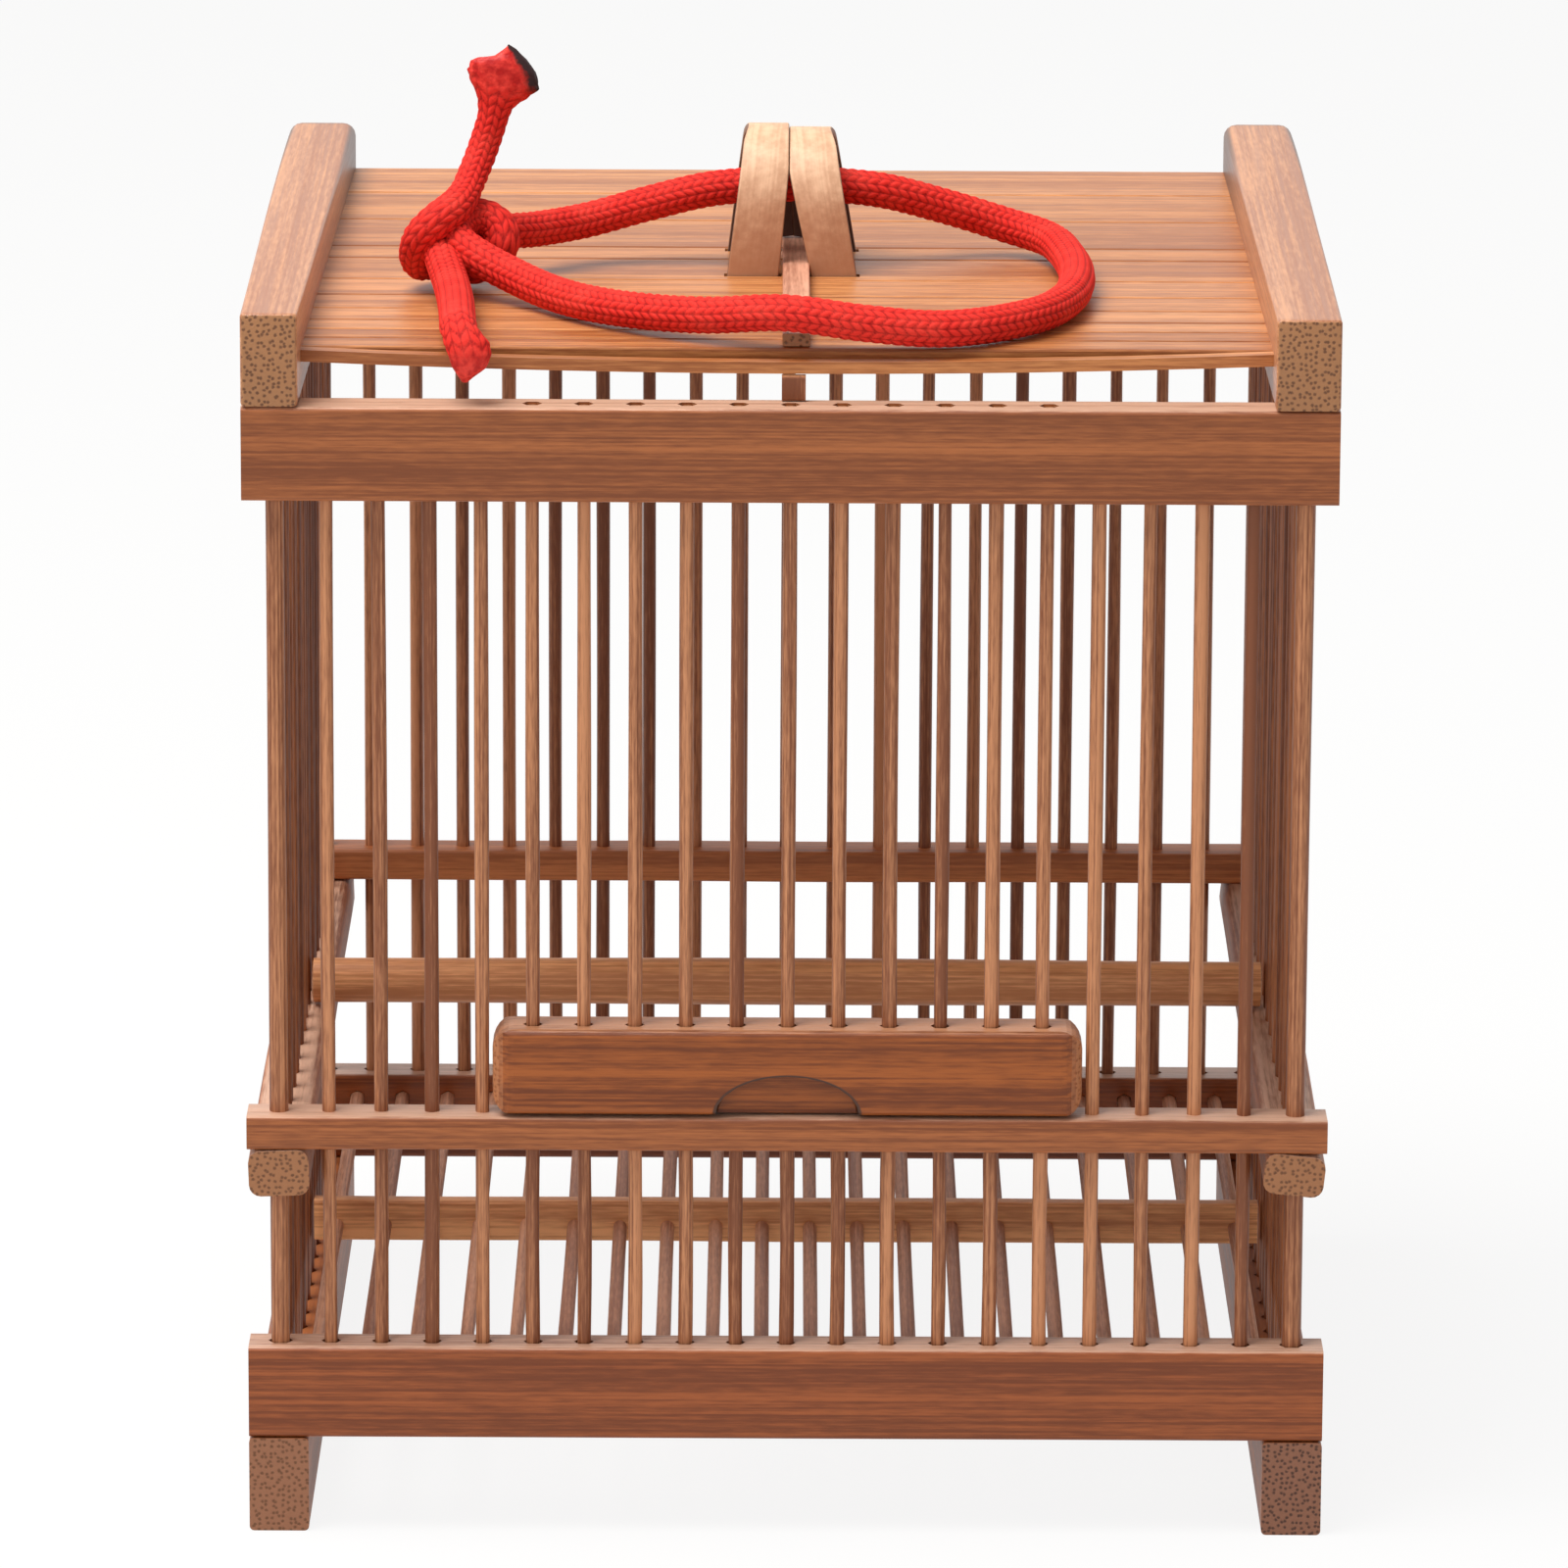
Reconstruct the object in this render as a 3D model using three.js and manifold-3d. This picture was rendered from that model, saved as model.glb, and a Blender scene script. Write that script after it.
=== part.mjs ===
// Cricket cage of split bamboo: stacked rails threaded with thin bars, a lift-up barred door,
// a slatted roof and two bent strips that carry a knotted cord. Millimetres, +Z up, front is -Y.
import * as THREE from "three";
import { mergeVertices } from "three/addons/utils/BufferGeometryUtils.js";
import Module from "manifold-3d";

const wasm = await Module();
wasm.setup();

// Overall plan of the cage
const CAGE_WIDTH = 110; // length of the long rails, left to right
const CAGE_DEPTH = 110; // length of the side members, front to back
const UPPER_GAP = 64; // clear height between the mid rail and the top rail
const LOWER_GAP = 16.2; // clear height between the bottom rail and the side mid rail

// Rails that run left to right
const RAIL_DEPTH = 5.4;
const BOTTOM_RAIL_HEIGHT = 9.6;
const MID_RAIL_HEIGHT = 3.5;
const TOP_RAIL_HEIGHT = 9.6;
const RAIL_EDGE = 0.5; // radius of the rubbed long edges
const EDGE_FACETS = 3; // facets in each rubbed edge

// Members that run front to back
const RUNNER_WIDTH = 6.1;
const RUNNER_HEIGHT = 9.9;
const SIDE_RAIL_WIDTH = 6.3;
const SIDE_RAIL_HEIGHT = 4.7;
const SIDE_RAIL_RISE = 1.6; // the side mid rails climb this much from the front rail to the back rail
const SIDE_RAIL_EDGE = 1.2;
const SIDE_RAIL_EDGE_FACETS = 3;
const ROOF_BEAM_WIDTH = 6.1;
const ROOF_BEAM_HEIGHT = 9.2;
const ROOF_BEAM_EDGE = 0.25;
const ROOF_BEAM_NOSE = 1; // radius of the back top corner of each roof beam
const ROOF_BEAM_CORNER = 1.6; // and of its back corners seen from above
const ROOF_BEAM_NOSE_FACETS = 4;

// Bars, posts and how they seat
const BAR_DIAMETER = 1.45;
const BARS_EACH_SIDE = 9; // bars on each side of the middle one, in every wall
const POST_FROM_SIDE = 3.2; // the corner posts' centres in from the sides of the cage
const BAR_SIDES = 8; // flats on the front bars and posts
const WALL_BAR_SIDES = 6; // flats on the threaded bars of the back and side walls
const HOLE_SIDES = 6;
const POST_DIAMETER = 1.9;
const HOLE_CLEARANCE = 0.15; // all round a bar or rod in its hole
const BAR_SEAT = 3; // how far a bar's end goes into a member
const LOWER_BAR_SEAT = 2; // and into the bottom rail, above the floor rods
const POST_SEAT = 5;
const END_CLEARANCE = 0.2; // past the end of a bar in a blind hole
const STACK_GAP = 0.1; // between members stacked on each other

// Sliding door
const DOOR_BARS_EACH_SIDE = 5;
const DOOR_SIDE_GAP = 0.355; // between the block and the fixed bars beside it
const DOOR_BLOCK_HEIGHT = 8.9;
const DOOR_BLOCK_DEPTH = 6.4;
const DOOR_BLOCK_EDGE = 0.8;
const DOOR_BLOCK_EDGE_FACETS = 3;
const DOOR_PLAN_CORNER = 2.2; // radius of the block's ends seen from above
const DOOR_FACE_CORNER = 2.2; // and seen from the front
const DOOR_CORNER_FACETS = 3;
const DOOR_REST_GAP = 0.3;
const DOOR_BAR_SEAT = 4.1;
const DOOR_BAR_RECESS = 0.2; // the tops of the door's bars lie this far below the rail's top
const THUMB_WIDTH = 14.7;
const THUMB_HEIGHT = 4.2;
const THUMB_DEPTH = 1.5;
const THUMB_STEPS = 12;

// Perch and floor
const PERCH_DIAMETER = 4.8;
const PERCH_FROM_MIDDLE = -0.4; // towards the back of the cage
const PERCH_SIDES = 18;
const ROD_END_GAP = 0.3; // between the perch's or stretcher's end and the side bars
const FLOOR_RODS = 20;
const FLOOR_ROD_FROM_WALL = 3.54; // outermost rods in from the side walls' bars
const FLOOR_ROD_DIAMETER = 1.5;
const FLOOR_ROD_SIDES = 6;
const FLOOR_ROD_SEAT = 1.5;
const FLOOR_ROD_DROP = 2.7; // centre of the rods below the top of the bottom rail
const STRETCHER_HEIGHT = 4.5;
const STRETCHER_THICKNESS = 2.2;
const STRETCHER_DROP = 0.5; // rods' centre below the middle of the stretcher

// Roof
const SLAT_THICKNESS = 1.2;
const SLAT_LIFT = 3.5; // underside of the slats above the underside of the roof beams
const SLAT_EDGE = 0.25;
const SLAT_JOINT = 0.3; // gap between neighbouring slats
const SLAT_LET_IN = 1; // how far a slat's end goes into the beam's groove
const GROOVE_CLEARANCE = 0.15;
const FRONT_SLAT_SETBACK = 5.6; // front stick's front face behind the cage's front
const BACK_SLAT_SETBACK = 1.6; // and the back slat's edge before the cage's back
const FRONT_STICK_WIDTH = 1.7;
const SLAT_WIDTHS = [4.3, 4.3, 4.6, 5.9, 6.9, 8.4, 11.3, 6.4, 15.2, 15.6, 14.7]; // these share the depth
const FRONT_SLAT_SAG = 0.9;
const FRONT_SLAT_BOW = 0.7;
const FRONT_SLAT_STEPS = 12;
const PEG_WIDTH = 2.4;
const PEG_DEPTH = 1.4;
const PEG_EDGE = 0.2;
const PEG_FROM_CENTRE = 0.3;
const BATTEN_WIDTH = 2.8;
const BATTEN_THICKNESS = 1.3;
const BATTEN_FROM_CENTRE = 0.55;
const BATTEN_END_INSET = 0.4;

// Bent handle strips
const HOOP_THICKNESS = 1;
const HOOP_HEIGHT = 14.5; // above the slats
const FRONT_LEG_SLAT = 6; // the slats that the legs stand in, counted from 0 at the front
const BACK_LEG_SLAT = 7;
const FRONT_LEG_INSET = 2.1; // leg's outer face behind its slat's front edge
const BACK_LEG_INSET = 0.8; // leg's outer face before its slat's back edge
const HOOP_LEG_BELOW = 1.8; // leg's end below the slats
const HOOP_CLEARANCE = 0.3;
const HOOP_ARC_STEPS = 14;
const HOOPS = {
  left_handle_hoop: { foot: -3.95, top: -2.6, footWidth: 5.4, topWidth: 4.4 },
  right_handle_hoop: { foot: 4.5, top: 2.15, footWidth: 4.8, topWidth: 4.4 },
};

// Cord
const CORD_DIAMETER = 3.8;
const CORD_SIDES = 8;
const CORD_STEPS = 52;
const TAIL_STEPS = 6;
const TIP_LENGTH = 5.4; // melted end of the lower tail
const TIP_WIDTH = 4.9;
const TIP_NECK = 4;
const TIP_THICKNESS = 3;
const KNOT_RADII = [6.2, 7.4, 5.2];
const KNOT_SIDES = 14;
const KNOT_RINGS = 10;

const BAMBOO = { color: 0xa5683f, roughness: 0.55, metalness: 0 };
const PALE_BAMBOO = { color: 0xd5a070, roughness: 0.5, metalness: 0 };
const BAR_BAMBOO = { color: 0x8f5a38, roughness: 0.55, metalness: 0 };
const CORD_RED = { color: 0xd0281e, roughness: 0.85, metalness: 0 };

// Levels, each from the member below it
const runnerTop = RUNNER_HEIGHT;
const bottomRailBase = runnerTop + STACK_GAP;
const bottomRailTop = bottomRailBase + BOTTOM_RAIL_HEIGHT;
const sideRailBase = bottomRailTop + LOWER_GAP;
const sideRailTop = sideRailBase + SIDE_RAIL_HEIGHT;
const midRailBase = sideRailTop + STACK_GAP;
const midRailTop = midRailBase + MID_RAIL_HEIGHT;
const backMidRailBase = midRailBase + SIDE_RAIL_RISE;
const topRailBase = midRailTop + UPPER_GAP;
const topRailTop = topRailBase + TOP_RAIL_HEIGHT;
const roofBeamBase = topRailTop + STACK_GAP;
const slatBase = roofBeamBase + SLAT_LIFT;
const slatTop = slatBase + SLAT_THICKNESS;
const floorRodLevel = bottomRailTop - FLOOR_ROD_DROP;
const doorBase = midRailTop + DOOR_REST_GAP;
const doorTop = doorBase + DOOR_BLOCK_HEIGHT;

// Plan positions
const front = -CAGE_DEPTH / 2;
const railMiddle = CAGE_DEPTH / 2 - RAIL_DEPTH / 2; // distance of the rails and their bars from the middle
const postOffset = CAGE_WIDTH / 2 - POST_FROM_SIDE; // and of the side walls' bars
const runnerMiddle = CAGE_WIDTH / 2 - RUNNER_WIDTH / 2;
const sideRailMiddle = CAGE_WIDTH / 2 - SIDE_RAIL_WIDTH / 2;
const roofBeamMiddle = CAGE_WIDTH / 2 - ROOF_BEAM_WIDTH / 2;
const sideRailSlope = SIDE_RAIL_RISE / (2 * railMiddle);
const stickFront = front + FRONT_SLAT_SETBACK;
const slatsBack = CAGE_DEPTH / 2 - BACK_SLAT_SETBACK;
const insideLength = 2 * (postOffset - BAR_DIAMETER / 2 - ROD_END_GAP);

// Places at an even pitch from -reach to +reach, the ends included.
function evenPlaces(count, reach) {
  return Array.from({ length: count }, (_, i) => reach * ((2 * i) / (count - 1) - 1));
}
const barsInWall = 2 * BARS_EACH_SIDE + 1;
const barPlaces = evenPlaces(barsInWall + 2, postOffset).slice(1, -1); // between the corner posts
const sideBarPlaces = evenPlaces(barsInWall + 2, railMiddle).slice(1, -1);
const firstDoorBar = BARS_EACH_SIDE - DOOR_BARS_EACH_SIDE;
const doorPlaces = barPlaces.slice(firstDoorBar, barsInWall - firstDoorBar);
const fixedPlaces = barPlaces.filter((x) => !doorPlaces.includes(x));
const besideDoor = Math.min(...fixedPlaces.map(Math.abs));
const doorBlockLength = 2 * (besideDoor - BAR_DIAMETER / 2 - DOOR_SIDE_GAP);
const floorRodPlaces = evenPlaces(FLOOR_RODS, postOffset - FLOOR_ROD_FROM_WALL);

const cage = new THREE.Group();
cage.name = "cricket_cage";

function toSolid(geometry) {
  const bare = geometry.clone();
  bare.deleteAttribute("normal");
  bare.deleteAttribute("uv");
  const merged = mergeVertices(bare, 1e-4);
  return new wasm.Manifold(
    new wasm.Mesh({
      numProp: 3,
      vertProperties: new Float32Array(merged.attributes.position.array),
      triVerts: new Uint32Array(merged.index.array),
    }),
  );
}

function toGeometry(solid) {
  const mesh = solid.getMesh();
  const indexed = new THREE.BufferGeometry();
  indexed.setAttribute("position", new THREE.BufferAttribute(mesh.vertProperties, 3));
  indexed.setIndex(new THREE.BufferAttribute(mesh.triVerts, 1));
  const flat = indexed.toNonIndexed();
  flat.computeVertexNormals();
  return flat;
}

// Adds a named sub-part to its group at a place.
function addPart(parent, name, shape, finish, x = 0, y = 0, z = 0) {
  const geometry = shape.isBufferGeometry ? shape : toGeometry(shape);
  const mesh = new THREE.Mesh(geometry, new THREE.MeshStandardMaterial(finish));
  mesh.name = name;
  mesh.position.set(x, y, z);
  parent.add(mesh);
  return mesh;
}

function addGroup(name) {
  const group = new THREE.Group();
  group.name = name;
  cage.add(group);
  return group;
}

// Rectangle with rounded corners, standing on its base line.
function roundedOutline(width, height, radius) {
  const half = width / 2;
  const shape = new THREE.Shape();
  shape.moveTo(half, radius);
  shape.lineTo(half, height - radius);
  shape.absarc(half - radius, height - radius, radius, 0, Math.PI / 2);
  shape.lineTo(radius - half, height);
  shape.absarc(radius - half, height - radius, radius, Math.PI / 2, Math.PI);
  shape.lineTo(-half, radius);
  shape.absarc(radius - half, radius, radius, Math.PI, 1.5 * Math.PI);
  shape.lineTo(half - radius, 0);
  shape.absarc(half - radius, radius, radius, 1.5 * Math.PI, 2 * Math.PI);
  return shape;
}

// Strip of rounded section along Y, its underside at z = 0.
function stripAlongY(width, height, length, radius, facets = EDGE_FACETS) {
  const strip = new THREE.ExtrudeGeometry(roundedOutline(width, height, radius), {
    depth: length,
    bevelEnabled: false,
    curveSegments: facets,
  });
  return strip.rotateX(Math.PI / 2).translate(0, length / 2, 0);
}

function stripAlongX(depth, height, length, radius, facets = EDGE_FACETS) {
  return stripAlongY(depth, height, length, radius, facets).rotateZ(Math.PI / 2);
}

// Upright stick, from one level to another.
function upright(diameter, from, to, sides = BAR_SIDES) {
  const stick = new THREE.CylinderGeometry(diameter / 2, diameter / 2, to - from, sides);
  return stick.rotateY(Math.PI / sides).rotateX(Math.PI / 2).translate(0, 0, (from + to) / 2);
}

// Cutter for the hole of a bar or post: its flats clear the bar all round.
function hole(diameter, from, to) {
  const flatToFlat = diameter + 2 * HOLE_CLEARANCE;
  return upright(flatToFlat / Math.cos(Math.PI / HOLE_SIDES), from, to, HOLE_SIDES);
}

// Level stick along Y, centred on z = 0.
function levelAlongY(diameter, length, sides) {
  return new THREE.CylinderGeometry(diameter / 2, diameter / 2, length, sides);
}

function joinAll(solids) {
  return solids.reduce((whole, piece) => whole.add(piece));
}

// Holes or bars of one kind at several places along X (or along Y), as one solid.
function rowAlongX(places, y, shape) {
  return joinAll(places.map((x) => toSolid(shape.clone().translate(x, y, 0))));
}

function rowAlongY(places, x, shape) {
  return joinAll(places.map((y) => toSolid(shape.clone().translate(x, y, 0))));
}

const past = 1; // a cutter reaches this far past the face that it opens

// Rails: bottom, mid and top, front and back. Each is built at its own underside.
const rails = addGroup("rails");

// Bottom rail with blind holes for the bars on top and for the floor rods in its inner face.
function bottomRail(inward) {
  const rail = toSolid(stripAlongX(RAIL_DEPTH, BOTTOM_RAIL_HEIGHT, CAGE_WIDTH, RAIL_EDGE));
  const barHole = hole(
    BAR_DIAMETER,
    BOTTOM_RAIL_HEIGHT - LOWER_BAR_SEAT - END_CLEARANCE,
    BOTTOM_RAIL_HEIGHT + past,
  );
  const postHole = hole(POST_DIAMETER, -past, BOTTOM_RAIL_HEIGHT + past);
  const rodHoleLength = FLOOR_ROD_SEAT + END_CLEARANCE + past;
  const rodHole = levelAlongY(
    FLOOR_ROD_DIAMETER + 2 * HOLE_CLEARANCE,
    rodHoleLength,
    FLOOR_ROD_SIDES,
  ).translate(0, 0, floorRodLevel - bottomRailBase);
  const rodHoleMiddle = RAIL_DEPTH / 2 + past - rodHoleLength / 2;
  return rail
    .subtract(rowAlongX(barPlaces, 0, barHole))
    .subtract(rowAlongX([-postOffset, postOffset], 0, postHole))
    .subtract(rowAlongX(floorRodPlaces, inward * rodHoleMiddle, rodHole));
}
addPart(rails, "front_bottom_rail", bottomRail(1), BAMBOO, 0, -railMiddle, bottomRailBase);
addPart(rails, "back_bottom_rail", bottomRail(-1), BAMBOO, 0, railMiddle, bottomRailBase);

// Mid rail with its own threaded bars; the others pass through it in holes.
function midRail(ownPlaces, ownBar, passingPlaces) {
  const rail = toSolid(stripAlongX(RAIL_DEPTH, MID_RAIL_HEIGHT, CAGE_WIDTH, RAIL_EDGE));
  const postHole = hole(POST_DIAMETER, -past, MID_RAIL_HEIGHT + past);
  const barHole = hole(BAR_DIAMETER, -past, MID_RAIL_HEIGHT + past);
  const drilled = passingPlaces.length ? rail.subtract(rowAlongX(passingPlaces, 0, barHole)) : rail;
  return drilled
    .subtract(rowAlongX([-postOffset, postOffset], 0, postHole))
    .add(rowAlongX(ownPlaces, 0, ownBar));
}
const barFoot = bottomRailTop - LOWER_BAR_SEAT;
const barHead = topRailBase + BAR_SEAT;
const shortBar = upright(BAR_DIAMETER, barFoot - midRailBase, MID_RAIL_HEIGHT / 2);
addPart(
  rails,
  "front_mid_rail",
  midRail(doorPlaces, shortBar, fixedPlaces),
  BAMBOO,
  0,
  -railMiddle,
  midRailBase,
);
const backBar = upright(
  BAR_DIAMETER,
  barFoot - backMidRailBase,
  barHead - backMidRailBase,
  WALL_BAR_SIDES,
);
addPart(
  rails,
  "back_mid_rail",
  midRail(barPlaces, backBar, []),
  BAMBOO,
  0,
  railMiddle,
  backMidRailBase,
);

// Top rail: blind holes for fixed bars, through holes for the posts and the door's bars.
function topRail(blindPlaces, throughPlaces) {
  const rail = toSolid(stripAlongX(RAIL_DEPTH, TOP_RAIL_HEIGHT, CAGE_WIDTH, RAIL_EDGE));
  const blindHole = hole(BAR_DIAMETER, -past, BAR_SEAT + END_CLEARANCE);
  const throughHole = hole(BAR_DIAMETER, -past, TOP_RAIL_HEIGHT + past);
  const postHole = hole(POST_DIAMETER, -past, TOP_RAIL_HEIGHT + past);
  const drilled = rail
    .subtract(rowAlongX(blindPlaces, 0, blindHole))
    .subtract(rowAlongX([-postOffset, postOffset], 0, postHole));
  return throughPlaces.length ? drilled.subtract(rowAlongX(throughPlaces, 0, throughHole)) : drilled;
}
addPart(rails, "front_top_rail", topRail(fixedPlaces, doorPlaces), BAMBOO, 0, -railMiddle, topRailBase);
addPart(rails, "back_top_rail", topRail(barPlaces, []), BAMBOO, 0, railMiddle, topRailBase);

// Side members: runners below, threaded rails in the middle, grooved beams under the roof.
const sides = addGroup("sides");
const postPlaces = [-railMiddle, railMiddle];

function runner(barLine) {
  const block = toSolid(stripAlongY(RUNNER_WIDTH, RUNNER_HEIGHT, CAGE_DEPTH, RAIL_EDGE));
  const barHole = hole(BAR_DIAMETER, RUNNER_HEIGHT - BAR_SEAT - END_CLEARANCE, RUNNER_HEIGHT + past);
  const postHole = hole(
    POST_DIAMETER,
    RUNNER_HEIGHT - POST_SEAT - END_CLEARANCE,
    RUNNER_HEIGHT + past,
  );
  return block
    .subtract(rowAlongY(sideBarPlaces, barLine, barHole))
    .subtract(rowAlongY(postPlaces, barLine, postHole));
}

// The rail slopes, and its bars stand upright in it. Its base is at the front rail's level.
function sideMidRail(barLine) {
  const strip = stripAlongY(
    SIDE_RAIL_WIDTH,
    SIDE_RAIL_HEIGHT,
    CAGE_DEPTH,
    SIDE_RAIL_EDGE,
    SIDE_RAIL_EDGE_FACETS,
  );
  strip.rotateX(Math.atan(sideRailSlope)).translate(0, 0, SIDE_RAIL_RISE / 2);
  const rail = toSolid(strip);
  const bar = upright(
    BAR_DIAMETER,
    runnerTop - BAR_SEAT - sideRailBase,
    roofBeamBase + BAR_SEAT - sideRailBase,
    WALL_BAR_SIDES,
  );
  const postHole = hole(POST_DIAMETER, -past, SIDE_RAIL_HEIGHT + SIDE_RAIL_RISE + past);
  return rail
    .subtract(rowAlongY(postPlaces, barLine, postHole))
    .add(rowAlongY(sideBarPlaces, barLine, bar));
}

// Side view of a roof beam, with its back top corner rounded off.
function beamOutline() {
  const half = CAGE_DEPTH / 2;
  const shape = new THREE.Shape();
  shape.moveTo(-half, 0);
  shape.lineTo(half, 0);
  shape.lineTo(half, ROOF_BEAM_HEIGHT - ROOF_BEAM_NOSE);
  shape.absarc(half - ROOF_BEAM_NOSE, ROOF_BEAM_HEIGHT - ROOF_BEAM_NOSE, ROOF_BEAM_NOSE, 0, Math.PI / 2);
  shape.lineTo(-half, ROOF_BEAM_HEIGHT);
  return shape;
}

function roofBeam(barLine, inward) {
  const section = toSolid(stripAlongY(ROOF_BEAM_WIDTH, ROOF_BEAM_HEIGHT, CAGE_DEPTH, ROOF_BEAM_EDGE));
  const sideView = new THREE.ExtrudeGeometry(beamOutline(), {
    depth: ROOF_BEAM_WIDTH + 2 * past,
    bevelEnabled: false,
    curveSegments: ROOF_BEAM_NOSE_FACETS,
  });
  sideView.translate(0, 0, -ROOF_BEAM_WIDTH / 2 - past).rotateX(Math.PI / 2).rotateZ(Math.PI / 2);
  const grooveHeight = SLAT_THICKNESS + 2 * GROOVE_CLEARANCE;
  const grooveDepth = SLAT_LET_IN + GROOVE_CLEARANCE;
  const grooveLength = slatsBack - stickFront + 2 * GROOVE_CLEARANCE;
  const groove = new THREE.BoxGeometry(2 * grooveDepth, grooveLength, grooveHeight);
  groove.translate(
    (inward * ROOF_BEAM_WIDTH) / 2,
    (stickFront + slatsBack) / 2,
    SLAT_LIFT + SLAT_THICKNESS / 2,
  );
  const fromAbove = stripAlongY(
    ROOF_BEAM_WIDTH,
    CAGE_DEPTH + past + ROOF_BEAM_CORNER,
    2 * ROOF_BEAM_HEIGHT,
    ROOF_BEAM_CORNER,
    ROOF_BEAM_NOSE_FACETS,
  );
  fromAbove.rotateX(-Math.PI / 2).translate(0, front - past - ROOF_BEAM_CORNER, 0);
  const barHole = hole(BAR_DIAMETER, -past, BAR_SEAT + END_CLEARANCE);
  const postHole = hole(POST_DIAMETER, -past, POST_SEAT + END_CLEARANCE);
  return section
    .intersect(toSolid(sideView))
    .intersect(toSolid(fromAbove))
    .subtract(toSolid(groove))
    .subtract(rowAlongY(sideBarPlaces, barLine, barHole))
    .subtract(rowAlongY(postPlaces, barLine, postHole));
}

for (const [name, side] of [["left", -1], ["right", 1]]) {
  addPart(
    sides,
    `${name}_runner`,
    runner(side * (postOffset - runnerMiddle)),
    BAMBOO,
    side * runnerMiddle,
  );
  addPart(
    sides,
    `${name}_mid_rail`,
    sideMidRail(side * (postOffset - sideRailMiddle)),
    BAMBOO,
    side * sideRailMiddle,
    0,
    sideRailBase,
  );
  addPart(
    sides,
    `${name}_roof_beam`,
    roofBeam(side * (postOffset - roofBeamMiddle), -side),
    PALE_BAMBOO,
    side * roofBeamMiddle,
    0,
    roofBeamBase,
  );
}

// Corner posts skewer every member of their corner, and the fixed bars stand beside the door.
const uprights = addGroup("uprights");
for (const [depthName, y] of [["front", -railMiddle], ["back", railMiddle]])
  for (const [name, x] of [["left", -postOffset], ["right", postOffset]])
    addPart(
      uprights,
      `${depthName}_${name}_corner_post`,
      upright(POST_DIAMETER, runnerTop - POST_SEAT, roofBeamBase + POST_SEAT),
      BAR_BAMBOO,
      x,
      y,
    );
fixedPlaces.forEach((x, i) =>
  addPart(
    uprights,
    `front_fixed_bar_${i + 1}`,
    upright(BAR_DIAMETER, barFoot, barHead),
    BAR_BAMBOO,
    x,
    -railMiddle,
  ),
);

// Door: a block with a half-moon for the thumb and eleven bars that slide through the top rail.
const door = addGroup("door");

// The block's long edges are rubbed, and its ends are rounded from above and from the front.
function doorBlank() {
  const rubbed = stripAlongX(
    DOOR_BLOCK_DEPTH,
    DOOR_BLOCK_HEIGHT,
    doorBlockLength,
    DOOR_BLOCK_EDGE,
    DOOR_BLOCK_EDGE_FACETS,
  );
  const fromFront = stripAlongY(
    doorBlockLength,
    DOOR_BLOCK_HEIGHT,
    DOOR_BLOCK_DEPTH + 2 * past,
    DOOR_FACE_CORNER,
    DOOR_CORNER_FACETS,
  );
  const fromAbove = stripAlongY(
    doorBlockLength,
    DOOR_BLOCK_DEPTH,
    DOOR_BLOCK_HEIGHT + 2 * past,
    DOOR_PLAN_CORNER,
    DOOR_CORNER_FACETS,
  );
  fromAbove.rotateX(-Math.PI / 2).translate(0, -DOOR_BLOCK_DEPTH / 2, DOOR_BLOCK_HEIGHT / 2);
  return toSolid(rubbed).intersect(toSolid(fromFront)).intersect(toSolid(fromAbove));
}

function doorBlock() {
  const moon = new THREE.CylinderGeometry(1, 1, THUMB_DEPTH * 2, THUMB_STEPS * 2);
  moon.scale(THUMB_WIDTH / 2, 1, THUMB_HEIGHT).translate(0, -DOOR_BLOCK_DEPTH / 2, 0);
  const barHole = hole(
    BAR_DIAMETER,
    DOOR_BLOCK_HEIGHT - DOOR_BAR_SEAT - END_CLEARANCE,
    DOOR_BLOCK_HEIGHT + past,
  );
  const barLine = (RAIL_DEPTH - DOOR_BLOCK_DEPTH) / 2;
  return doorBlank().subtract(toSolid(moon)).subtract(rowAlongX(doorPlaces, barLine, barHole));
}
addPart(door, "door_block", doorBlock(), BAMBOO, 0, front + DOOR_BLOCK_DEPTH / 2, doorBase);
doorPlaces.forEach((x, i) =>
  addPart(
    door,
    `door_bar_${i + 1}`,
    upright(BAR_DIAMETER, doorTop - DOOR_BAR_SEAT, topRailTop - DOOR_BAR_RECESS),
    BAR_BAMBOO,
    x,
    -railMiddle,
  ),
);

// Perch on the side rails, and a floor of rods threaded through one stretcher.
const inside = addGroup("inside");
const perch = new THREE.CylinderGeometry(
  PERCH_DIAMETER / 2,
  PERCH_DIAMETER / 2,
  insideLength,
  PERCH_SIDES,
).rotateY(Math.PI / PERCH_SIDES).rotateZ(Math.PI / 2);
const perchSeat = sideRailTop + sideRailSlope * (railMiddle + PERCH_FROM_MIDDLE);
addPart(
  inside,
  "perch_rod",
  perch,
  PALE_BAMBOO,
  0,
  PERCH_FROM_MIDDLE,
  perchSeat + STACK_GAP + PERCH_DIAMETER / 2,
);

function floorGrille() {
  const stretcher = stripAlongX(STRETCHER_THICKNESS, STRETCHER_HEIGHT, insideLength, RAIL_EDGE);
  stretcher.translate(0, 0, STRETCHER_DROP - STRETCHER_HEIGHT / 2);
  const rodLength = 2 * (CAGE_DEPTH / 2 - RAIL_DEPTH + FLOOR_ROD_SEAT);
  const rod = levelAlongY(FLOOR_ROD_DIAMETER, rodLength, FLOOR_ROD_SIDES);
  return toSolid(stretcher).add(rowAlongX(floorRodPlaces, 0, rod));
}
addPart(inside, "floor_grille", floorGrille(), PALE_BAMBOO, 0, 0, floorRodLevel);

// Roof: a thin front stick and flat slats, let into grooves in the roof beams.
const roof = addGroup("roof");
const slatLength = CAGE_WIDTH - 2 * ROOF_BEAM_WIDTH + 2 * SLAT_LET_IN;

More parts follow.
